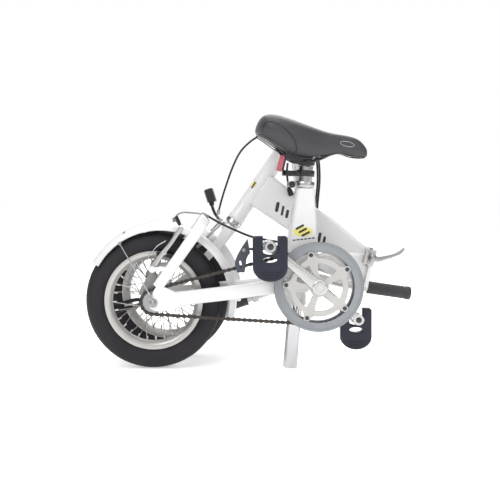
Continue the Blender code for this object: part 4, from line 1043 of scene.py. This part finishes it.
def seat_clamp():
    inner, outer = POST_R + 0.0006, 0.0225
    band = [(0.0003, inner), (0.0145, inner), (0.0145, outer)]
    band += [(0.0135, outer + 0.001), (0.0015, outer + 0.001), (0.0003, outer)]
    shape = Shape().ring(post_point(0.4275), POST_AXIS, band, 56)
    for side in (-1, 1):
        lug = [(0.344, side * 0.0085, 0.4352), (0.3215, side * 0.0085, 0.4352)]
        shape.swept(lug, (0.0058, 0.0034), corner=0.0015)
    shape.rod((0.3265, -0.0225, 0.435), (0.3265, 0.024, 0.435), 0.0032)
    show("seat_clamp_collar", shape, "rear_frame", "silver", REAR, ["seat_clamp"], sharp=45)
    nut = Shape().turned((0.3265, -0.015, 0.435), -Y, mm((0, 7), (6, 8.2), (9, 7.8), (10, 5)), 24)
    show("seat_clamp_nut", nut, "rear_frame", "black", REAR)
    path = mm((321, 29.5, 435), (330, 30, 435.2), (345, 31, 436), (372, 29.5, 438))
    shape = Shape().tube(path, mm((6.6, 4.2), (6.2, 4), (5, 3), (4, 2.2)), 24, corner=0.0022)
    show("seat_clamp_handle", shape, "seat_clamp_lever", "silver", REAR, ["seat_clamp_lever"], sharp=50)


def seat():
    seat_post()
    saddle_clamp()
    saddle()
    rear_reflector()
    seat_clamp()


SADDLE = (
    # x, underside, top, half width, half width of the underside as a share
    (0.2435, 0.557, 0.57, 0.03, 0.8),
    (0.25, 0.548, 0.589, 0.054, 0.82),
    (0.265, 0.5395, 0.6035, 0.069, 0.8),
    (0.295, 0.518, 0.6005, 0.077, 0.7),
    (0.33, 0.501, 0.589, 0.068, 0.62),
    (0.37, 0.496, 0.5745, 0.048, 0.62),
    (0.41, 0.502, 0.5595, 0.032, 0.7),
    (0.44, 0.5085, 0.554, 0.0265, 0.74),
    (0.47, 0.5, 0.5495, 0.0245, 0.74),
    (0.49, 0.4975, 0.541, 0.021, 0.72),
    (0.5045, 0.4985, 0.523, 0.012, 0.7),
)


def saddle_section(x, low, high, half, under):
    """Points of one cross section, crowned on top and drawn in below."""
    rise = high - low
    flat = [
        (0, 1.0), (0.38, 0.985), (0.7, 0.9), (0.92, 0.72), (1.0, 0.46), (0.9, 0.2), (under, 0.0),
        (under * 0.5, 0.03)
    ]
    whole = flat + [(0, 0.05)] + [(-s, t) for s, t in reversed(flat[1:])]
    return [Vector((x, half * s, low + rise * t)) for s, t in whole]


def saddle_at(s, t_index):
    """A point on the saddle's side: s runs along the sections, t_index picks a point of the section."""
    return smooth_path([saddle_section(*row)[t_index] for row in SADDLE], 200)[round(s * 200)]


def end_cap(section, row, along, rise):
    """A smaller copy of an end section, moved along X, that rounds the cover off."""
    middle = (row[1] + row[2]) / 2 + rise
    return [Vector((p.x + along, p.y * 0.5, middle + (p.z - middle) * 0.5)) for p in section]


def saddle_cover():
    made = [saddle_section(*row) for row in SADDLE]
    back = end_cap(made[0], SADDLE[0], -0.001, 0.001)
    front = end_cap(made[-1], SADDLE[-1], 0.003, -0.002)
    shape = Shape().rings([back] + made + [front])
    return show("saddle_cover", shape, "seat_post", "saddle", REAR, ["saddle"], subdivide=3, sharp=180)


def saddle_trim(side, word):
    """The side seam, the lower edge, the rail and a plain oval on one side."""
    seam = mm(
        (253, 556), (254.5, 570), (264, 580), (279, 579), (304, 564), (324, 543), (333, 520), (333, 506)
    )
    seam = [side_surface(x, z, side, 0.0002) for x, z in seam]
    cable("saddle_seam_" + word, seam, 0.0009, "seat_post", "piping", REAR, count=40)
    widest = 6 if side > 0 else -6
    edge = [saddle_at(s, widest) for s in (0.06, 0.12, 0.2, 0.3, 0.4, 0.5, 0.6, 0.7, 0.8, 0.9, 0.97)]
    cable("saddle_edge_" + word, edge, 0.0012, "seat_post", "piping", REAR, count=80)
    rail = mm(
        (278, side * 30, 548), (300, side * 26, 515), (330, side * 22.5, 490.5), (364, side * 21.5, 488.5)
    )
    rail += mm((390, side * 20, 494), (430, side * 12, 512))
    cable("saddle_rail_" + word, rail, 0.0035, "seat_post", "black", REAR, count=40)
    mark = []
    for k in range(33):
        across, up = math.cos(2 * math.pi * k / 32), math.sin(2 * math.pi * k / 32)
        mark.append(
            side_surface(0.456 + 0.0165 * across, 0.53 + 0.0058 * up - 0.003 * across, side, 0.0002)
        )
    cable("saddle_mark_" + word, mark, 0.0005, "seat_post", "mark", REAR, count=64)


def saddle():
    cover = saddle_cover()
    saddle_trim(-1, "right")
    saddle_trim(1, "left")


def side_surface(x, z, side, proud):
    """A point on the saddle's flank at x and z, found between its sections."""
    for low_row, high_row in zip(SADDLE, SADDLE[1:]):
        if low_row[0] <= x <= high_row[0]:
            share = (x - low_row[0]) / (high_row[0] - low_row[0])
            row = [a + (b - a) * share for a, b in zip(low_row, high_row)]
            height = (z - row[1]) / (row[2] - row[1])
            curve = [
                (0.0, row[4]), (0.2, 0.9), (0.46, 1.0), (0.72, 0.92), (0.9, 0.7), (0.985, 0.38),
                (1.0, 0.0)
            ]
            for (t0, s0), (t1, s1) in zip(curve, curve[1:]):
                if t0 <= height <= t1:
                    wide = s0 + (s1 - s0) * (height - t0) / (t1 - t0)
                    return Vector((x, side * (row[3] * wide * 0.985 + proud), z))
    return Vector((x, side * 0.03, z))


# ---------------------------------------------------------------- front half
def front_frame():
    profile = mm(
        (12, 14.5), (225, 14.5), (225, 21.2), (223.5, 21.7), (212, 21.5), (208, 20.5), (150, 20),
        (70, 19.6)
    )
    profile += mm((28, 19.6), (24, 20.8), (13.5, 21), (12, 20.4))
    show(
        "head_tube_shell", Shape().ring(CROWN, STEER_AXIS, profile, 56), "front_half", "paint", FRONT,
        ["head_tube"]
    )
    cups = (
        ("lower", mm((-1.5, 14.5), (11.5, 14.5), (11.5, 21.5), (3, 22.5), (-1.5, 20))),
        ("upper", mm((225.5, 14.5), (237.5, 14.5), (237.5, 19.5), (234, 22.2), (225.5, 21.5)))
    )
    for word, profile in cups:
        shape = Shape().ring(CROWN, STEER_AXIS, profile, 48)
        show(f"{word}_cup", shape, "front_half", "chrome", FRONT, [f"{word}_headset_cup"])
    pin = Vector((HINGE.x, -HINGE.y, HINGE.z))
    outline = [(0.228, 0.389), (0.242, 0.378), *hinge_edge(-0.036, 0.041), (0.44, 0.346), (0.279, 0.4625)]
    hinge_leaf(
        "main_tube_shell", "front_half", FRONT, pin, outline, 0.018, [(-0.0142, 0.0142)], "main_tube",
        0.0075
    )
    route = mm((325, 0, 489), (323.5, -12, 474), (324, -21.5, 456), (327, -23.5, 432), (330, -23.5, 418))
    cable("frame_cable_housing", route, 0.0026, "front_half", "rubber", FRONT, ["frame_brake_cable"], 24)
    profile = mm((-4, 3.2), (0, 5), (3, 6.2), (16.5, 6.6), (18.5, 6))
    boot = Shape().turned((0.3285, -0.0235, 0.425), Vector((0.3, 0.06, -0.95)), profile, 24)
    show("cable_boot", boot, "front_half", "rubber", FRONT)


KNUCKLE = mm((-5.7, 5.5), (-5, 6.2), (5, 6.2), (5.7, 5.5))


def fork_tubes(shoulder):
    steerer = mm((-26, 16), (-24.5, 17.5), (-4, 17.5), (-3, 16.5), (-3, 12.5), (238.5, 12.5))
    shape = Shape().turned(CROWN, STEER_AXIS, steerer, 40)
    crown = [shoulder + Y * y for y in (-0.05, -0.047, 0.047, 0.05)]
    shape.swept(crown, mm((8, 10), (10, 12), (10, 12), (8, 10)), up=STEER_AXIS, corner=0.005)
    sizes = mm((12, 6), (11, 5.5), (10, 4.5), (11, 3), (11.5, 2.6))
    for side in (-1, 1):
        path = [shoulder + Y * side * 0.0455 + STEER_AXIS * 0.008]
        path += mm(
            (150, side * 47, 283), (92, side * 48, 219), (40, side * 48, 176), (11, side * 48, 155)
        )
        shape.tube(path, sizes, 36, corner=0.0045)
    show("fork_tubes", shape, "fork", "paint", FRONT, ["fork"], sharp=45)


def stem():
    top = (POST_BASE - CROWN).dot(STEER_AXIS) + POST_START - 0.002
    profile = mm((238.5, 15), (240, 16.5), (246, 16.5), (247.5, 11.8)) + [(top, 0.0118)]
    shape = Shape().turned(CROWN, STEER_AXIS, profile, 32)
    knuckle = POST_HINGE - POST_HINGE_AXIS * 0.006
    shape.turned(knuckle, POST_HINGE_AXIS, KNUCKLE, 24)
    shape.swept([head_point(top - 0.01), knuckle], (0.0052, 0.0042), up=POST_HINGE_AXIS, corner=0.0015)
    show("stem_quill", shape, "fork", "silver", FRONT)


def front_reflector(shoulder):
    along = (shoulder - FRONT_AXLE).normalized().cross(Y).normalized()
    arm = [shoulder + along * 0.0385, (0.14, 0, 0.364), (0.1335, -0.002, 0.382), (0.131, -0.002, 0.398)]
    shape = Shape().tube(arm, (0.0034, 0.0046), 16, corner=0.0015)
    shape.turned(Vector((0.133, -0.01, 0.387)), Y, mm((0, 6), (16, 6)), 20)
    show("front_reflector_arm", shape, "fork", "black", FRONT, ["front_reflector"], sharp=50)
    axes = (Vector((0.95, 0, 0.3)), Y)
    shape = Shape().block((0.13, -0.002, 0.408), axes, (0.0095, 0.0195, 0.018))
    show("front_reflector_case", shape, "fork", "black", FRONT, bevel=0.003)
    shape = Shape().block((0.12, -0.002, 0.4048), axes, (0.0012, 0.0175, 0.016))
    show("front_reflector_lens", shape, "fork", "clear", FRONT, bevel=0.0008)


def front_cable():
    route = mm(
        (152, -18, 368), (160, -20, 398), (168, -20, 424), (187, -20, 478), (208, -15, 520),
        (236, -8, 548)
    )
    route += mm((265, 0, 565), (295, 4, 580))
    cable("front_brake_housing", route, 0.0025, "fork", "rubber", FRONT, ["front_brake_cable"], 60)
    wire = mm((150.5, -18, 364), (148, -19, 354), (146, -20, 346))
    cable("front_brake_wire", wire, 0.0009, "fork", "chrome", FRONT, count=8)
    stop = Shape().turned((0.15, -0.0175, 0.36), (0.22, 0, 0.975), mm((0, 3), (2, 4.2), (12, 4.2)), 18)
    show("front_cable_stop", stop, "fork", "silver", FRONT)


def fork():
    shoulder = head_point(-0.016)
    fork_tubes(shoulder)
    stem()
    axle_nuts("front_axle_nuts", "fork", FRONT, FRONT_AXLE, 0.0513, ["front_axle"])
    front_reflector(shoulder)
    front_cable()


FORWARD = STEER_AXIS.cross(Y).normalized()
POST_TOP = POST_BASE + STEER_AXIS * POST_RISE


def bar_point(across, side):
    """A point on the handlebar's centreline, which rises and then sweeps out."""
    rise = 0.022 * min(max((across - 0.03) / 0.06, 0), 1) + max(across - 0.09, 0) * math.tan(BAR_DROP)
    return POST_TOP + Y * side * across + STEER_AXIS * rise


def handlepost():
    profile = [(POST_START, 0.015), (POST_START + 0.001, 0.0165), (POST_START + 0.016, 0.0175)]
    profile += [(POST_START + 0.05, 0.016), (POST_RISE - 0.016, 0.014)]
    shape = Shape().turned(POST_BASE, STEER_AXIS, profile, 40)
    shape.turned(POST_TOP - Y * 0.022, Y, mm((0, 16.5), (1, 17.5), (43, 17.5), (44, 16.5)), 36)
    for side in (1, -1):
        shape.bolt(POST_TOP + FORWARD * 0.017 + Y * side * 0.01, FORWARD, 0.004, 0.0035)
    knuckle = POST_HINGE + POST_HINGE_AXIS * 0.006
    shape.turned(knuckle, POST_HINGE_AXIS, KNUCKLE, 24)
    offset = POST_HINGE - CROWN
    out = (offset - STEER_AXIS * offset.dot(STEER_AXIS)).normalized()
    ear = [knuckle + STEER_AXIS * t - out * s for t, s in mm((0, 0), (31, 3), (46, 5.5))]
    shape.swept(ear, (0.0035, 0.0036), up=POST_HINGE_AXIS, corner=0.0012)
    show("handlepost_tube", shape, "handlepost", "alloy", BAR, ["handlepost"], sharp=45)


def handlebar():
    reach = [BAR_HALF, 0.18, 0.095, 0.085, 0.06, 0.035, 0.025]
    path = [bar_point(a, -1) for a in reach] + [bar_point(a, 1) for a in reversed(reach)]
    bar = Shape().tube(path, (0.011, 0.011), 90, up=FORWARD, arc=6)
    show("handlebar_tube", bar, "handlepost", "silver", BAR, ["handlebar"], sharp=60)


def hand_grip(side, word):
    """A ribbed grip. Returns the way it points."""
    start, end = bar_point(BAR_HALF - 0.11, side), bar_point(BAR_HALF, side)
    way = (end - start).normalized()
    profile = mm((0, 11.3), (0, 16), (1, 16.8), (4, 16.8))
    for k in range(24):
        t = 0.006 + 0.0038 * k
        profile += [(t, 0.0157), (t + 0.0006, 0.0164), (t + 0.0026, 0.0164), (t + 0.0032, 0.0157)]
    profile += mm((100, 15.8), (102, 17.2), (110, 17.5), (112.8, 16.8), (113.5, 15), (113.5, 3))
    shape = Shape().ring(start, way, profile, 48)
    show(f"{word}_grip_rubber", shape, "handlepost", "grip", BAR, [f"{word}_grip"], sharp=50)
    return way


def brake_lever(side, word, way):
    """The perch clamped on the bar, and the lever's blade."""
    clamp = bar_point(BAR_HALF - 0.13, side)
    band = mm((-8, 11.2), (8, 11.2), (8, 15.5), (7, 16.5), (-7, 16.5), (-8, 15.5))
    shape = Shape().ring(clamp, way, band, 36)
    body = [clamp + FORWARD * f + way * w for f, w in mm((12, 0), (26, 1), (38, 4))]
    shape.tube(body, mm((7.5, 6.5), (8, 6), (8, 6.2)), 10, up=STEER_AXIS, corner=0.003)
    shape.bolt(clamp - STEER_AXIS * 0.016, -STEER_AXIS, 0.0034, 0.003)
    show(f"{word}_brake_perch", shape, "handlepost", "silver", BAR, sharp=45)
    pivot = clamp + FORWARD * 0.0445 + way * 0.006
    steps = mm((-6, 0), (10, 2), (25, 4), (50, 1), (75, -4), (90, -2), (100, 2))
    sizes = mm((6, 5.8), (6, 5.8), (4.6, 5), (3.6, 5.2), (3.4, 5.2), (4, 5), (4.4, 4.4))
    blade = [pivot + way * w + FORWARD * f for w, f in steps]
    shape = Shape().tube(blade, sizes, 36, up=STEER_AXIS, corner=0.003)
    show(
        f"{word}_lever_blade", shape, f"{word}_brake_lever", "silver", BAR, [f"{word}_brake_lever"],
        sharp=50
    )


def bar_cables():
    route = [
        bar_point(0.13, -1) + FORWARD * 0.035, bar_point(0.09, -1) + FORWARD * 0.042 - STEER_AXIS * 0.02
    ]
    for y, f, t in mm((42, 28, 80), (34, 0, 170), (46, 0, 260), (45, 0, 320), (30, 0, 345)):
        route.append(POST_TOP - Y * y + FORWARD * f - STEER_AXIS * t)
    cable("bar_cable_housing", route, 0.0026, "handlepost", "rubber", BAR, ["handlepost_cable"], 60)
    second = [p - Y * 0.0058 + FORWARD * 0.002 for p in route[1:]]
    cable("second_cable_housing", second, 0.0026, "handlepost", "rubber", BAR, count=60)


def cockpit():
    handlepost()
    handlebar()
    for side, word in ((-1, "left"), (1, "right")):
        brake_lever(side, word, hand_grip(side, word))
    bar_cables()


# ---------------------------------------------------------------- small parts
def fender_stay(side, name):
    route = mm((-79, side * 35.5, 297), (-50, side * 50, 252), (-6, side * 60, 179))
    cable(name + "_wire", route, 0.0015, "rear_frame", "chrome", REAR, [name], 30)
    eye = Shape().bolt((-0.0785, side * 0.034, 0.2965), Y * side, 0.003, 0.0028)
    band = mm((-1, 2.2), (1, 2.2), (1, 4.2), (-1, 4.2))
    eye.ring((-0.0045, side * 0.059, 0.1765), Y, band, 24)
    show(name + "_bolts", eye, "rear_frame", "steel", REAR)


def kickstand():
    pivot = Vector((-0.022, 0.064, 0.15))
    slope = Vector((-0.96, 0, -0.28))
    start = pivot + Y * 0.0005 + slope * 0.008
    boss = mm((0, 4.6), (8, 4.6), (8, 10.5), (7, 11), (1, 11), (0, 10.5))
    shape = Shape().ring(pivot - Y * 0.004, Y, boss, 32)
    sizes = mm((5, 3.6), (4.8, 4.6), (5.5, 5))
    for spread in (-1, 1):
        lean = Vector((0.28, 0, -0.96)) * spread
        leg = [
            start + slope * s + Y * y + lean * w for s, y, w in mm((0, 0, 0), (24, 6, 7.5), (118, 9, 4))
        ]
        shape.tube(leg, sizes, 20, arc=5)
    show("kickstand_leg", shape, "kickstand", "black", REAR, ["kickstand"], sharp=50)
    shoe = Shape().block(start + slope * 0.124 + Y * 0.009, (slope, Y), (0.011, 0.0075, 0.009))
    show("kickstand_foot", shoe, "kickstand", "rubber", REAR, bevel=0.0025)


def spoke_reflector(name, body, placement, centre, turn):
    spin = Matrix.Translation(centre) @ Matrix.Rotation(math.radians(turn), 4, "Y")
    outline = slot_outline((0, -0.016), (0, 0.016), 0.0135)
    plate(name, [outline], 0.0028, 0.0012, body, "clear", placement @ spin)


def small_parts():
    fender_stay(-1, "right_fender_stay")
    fender_stay(1, "left_fender_stay")
    rivet_out = Vector((-0.47, -0.3, 0.883)).normalized()
    rivet = Shape().turned(
        (-0.0698, -0.0188, 0.3215), rivet_out, mm((0, 3.8), (0.8, 3.6), (1.4, 2.2)), 18
    )
    show("fender_rivet", rivet, "rear_frame", "steel", REAR)
    axle_nuts("rear_axle_nuts", "rear_frame", REAR, REAR_AXLE, 0.0563, ["rear_axle"])
    kickstand()
    centre = REAR_AXLE + Vector((-0.01, -0.0215, 0.038))
    spoke_reflector("spoke_reflector", "rear_wheel", REAR, centre, 31)
    centre = FRONT_AXLE + Vector((-0.03, -0.0215, 0.032))
    spoke_reflector("front_spoke_reflector", "front_wheel", FRONT, centre, -43)
    decals()


def mark(name, outline, body, mat, placement):
    """A printed mark, too thin to feel."""
    plate(name, [outline], 0.00012, 0.00002, body, mat, placement)


def seat_tube_marks():
    at = REAR @ Matrix.Translation((0, -0.0221, 0))
    mark("seat_tube_disc", disc(0.0225, 48, (0.352, 0.324), 0.52), "rear_frame", "yellow", at)
    at = REAR @ Matrix.Translation((0, -0.0224, 0))
    for k in range(3):
        x, z = 0.344 + 0.007 * k, 0.334 - 0.008 * k
        stroke = slot_outline((x - 0.007, z - 0.0035), (x + 0.008, z + 0.0045), 0.0026)
        mark(f"seat_tube_stroke_{k}", stroke, "rear_frame", "ink", at)
    for k in range(6):
        x = 0.329 + 0.009 * k
        dash = slot_outline((x, 0.3035 + 0.001 * k), (x + 0.0045, 0.304 + 0.001 * k), 0.0014)
        mark(f"seat_tube_dash_{k}", dash, "rear_frame", "ink", at)


def main_tube_marks():
    at = FRONT @ Matrix.Translation((0, -0.0181, 0))
    along = Vector((0.811, -0.585))
    lean = Vector((0.2, 0.98))
    strokes = mm((6, 8.5, 4.2), (22, 9.5, 3), (36, 7, 3.6), (134, 8.5, 3.6), (148, 7.5, 3.2))
    for k, (distance, size, width) in enumerate(strokes):
        centre = Vector((0.2945, 0.383)) + along * distance
        stroke = slot_outline(centre - lean * size, centre + lean * size, width)
        mark(f"main_tube_stroke_{k}", stroke, "front_half", "ink", at)


def decals():
    """Plain painted marks of this design's own: discs, bars and strokes."""
    seat_tube_marks()
    main_tube_marks()
    centre = Vector((head_point(0.118).x - 0.012, head_point(0.118).z + 0.003))
    for side, word in ((-1, "near"), (1, "far")):
        at = FRONT @ Matrix.Translation((0, side * 0.0198, 0))
        mark(f"head_mark_{word}", disc(0.0085, 32, tuple(centre), 0.55, 0.9), "front_half", "yellow", at)
        at = FRONT @ Matrix.Translation((0, side * 0.0201, 0))
        stroke = slot_outline(centre - Vector((0.005, 0.008)), centre + Vector((0.003, 0.004)), 0.0018)
        mark(f"head_stroke_{word}", stroke, "front_half", "ink", at)


# ---------------------------------------------------------------- studio
def add_camera(scene):
    data = bpy.data.cameras.new("camera")
    data.sensor_width = 36
    data.lens = 58.03
    data.shift_x = 0.1226
    data.shift_y = -0.1388
    camera = bpy.data.objects.new("camera", data)
    scene.collection.objects.link(camera)
    camera.location = Vector((0.083, -1.92, 0.444)) - ORIGIN
    camera.rotation_euler = (math.pi / 2, 0, 0)
    scene.camera = camera


def add_floor(scene):
    floor = bmesh.new()
    for x, y in ((-9, -7), (9, -7), (9, 14), (-9, 14)):
        floor.verts.new((x, y, 0))
    floor.faces.new(floor.verts)
    mesh = bpy.data.meshes.new("floor")
    floor.to_mesh(mesh)
    floor.free()
    ground = bpy.data.objects.new("floor", mesh)
    scene.collection.objects.link(ground)
    pale = material("studio floor", (0.93, 0.93, 0.93), 0.9, vary=0.0)
    glow = {"Emission Color": (1, 1, 1, 1), "Emission Strength": 0.42}
    feed(pale.node_tree, pale.node_tree.nodes["Principled BSDF"], glow)
    mesh.materials.append(pale)


def add_surround(scene):
    """White to the camera, and darker to the sides in reflections."""
    world = bpy.data.worlds.new("studio")
    scene.world = world
    world.use_nodes = True
    tree = world.node_tree
    place = add(tree, "TexCoord", {}).outputs["Generated"]
    split = add(tree, "SeparateXYZ", {"Vector": place})
    sideways = add(tree, "Math", {0: split.outputs["X"]}, operation="ABSOLUTE").outputs[0]
    fade = {"From Min": 0.35, "From Max": 0.95, "To Min": 0.78, "To Max": 0.16, "Value": sideways}
    surround = add(tree, "MapRange", fade).outputs["Result"]
    seen = add(tree, "LightPath", {}).outputs["Is Camera Ray"]
    strength = add(tree, "Math", {0: surround, 1: seen}, operation="MAXIMUM").outputs[0]
    feed(tree, tree.nodes["Background"], {"Color": (1, 1, 1, 1), "Strength": strength})


def add_lamps(scene):
    lamps = [
        ("key", (-1.6, -2.2, 2.6), 2.2, 44), ("fill", (2.2, -1.8, 1.6), 2.4, 16),
        ("back", (0.6, 2.4, 2.4), 2.4, 34), ("top", (0.0, 0.0, 3.2), 3.0, 40)
    ]
    for name, place, size, power in lamps:
        light = bpy.data.lights.new(name, "AREA")
        light.energy = power
        light.shape = "DISK"
        light.size = size
        lamp = bpy.data.objects.new(name, light)
        scene.collection.objects.link(lamp)
        lamp.location = place
        lamp.rotation_euler = (Vector((0, 0, 0.25)) - Vector(place)).to_track_quat("-Z", "Y").to_euler()


def studio():
    scene = bpy.context.scene
    add_camera(scene)
    add_floor(scene)
    add_surround(scene)
    add_lamps(scene)
    scene.view_settings.view_transform = "Standard"


SLOT_MATS = {
    "white_paint": "paint", "bare_alloy": "silver", "polished_alloy": "alloy", "rim_alloy": "rim",
    "plated_steel": "steel", "chrome": "chrome", "guard_ring_plastic": "guard", "chain_steel": "chain",
    "tyre_rubber": "tyre", "cable_housing": "rubber", "grip_rubber": "grip", "pedal_plastic": "pedal",
    "black_plastic": "black", "dark_grey_plastic": "dark", "saddle_vinyl": "saddle",
    "reflector_lens": "red"
}


def main():
    studio()
    for part in frame["record"]["subparts"]:
        node = frame["nodes"][part["node"]]
        node.data.materials.clear()
        node.data.materials.append(MATS[SLOT_MATS[part["material_slot"]]])
    wheel("rear", "rear_wheel", REAR @ Matrix.Translation(REAR_AXLE))
    wheel("front", "front_wheel", FRONT @ Matrix.Translation(FRONT_AXLE))
    fender("rear_mudguard", "rear_frame", REAR, (0.0146, 0, 0.163), -17, 151, "rear_fender")
    fender("front_mudguard", "fork", FRONT, (0.026, 0, 0.168), -8, 130, "front_fender")
    seat_tube()
    rear_triangle()
    brake_arch()
    main_hinge()
    rear_brake()
    drive_train()
    pedals()
    seat()
    front_frame()
    fork()
    front_brake()
    cockpit()
    small_parts()


main()
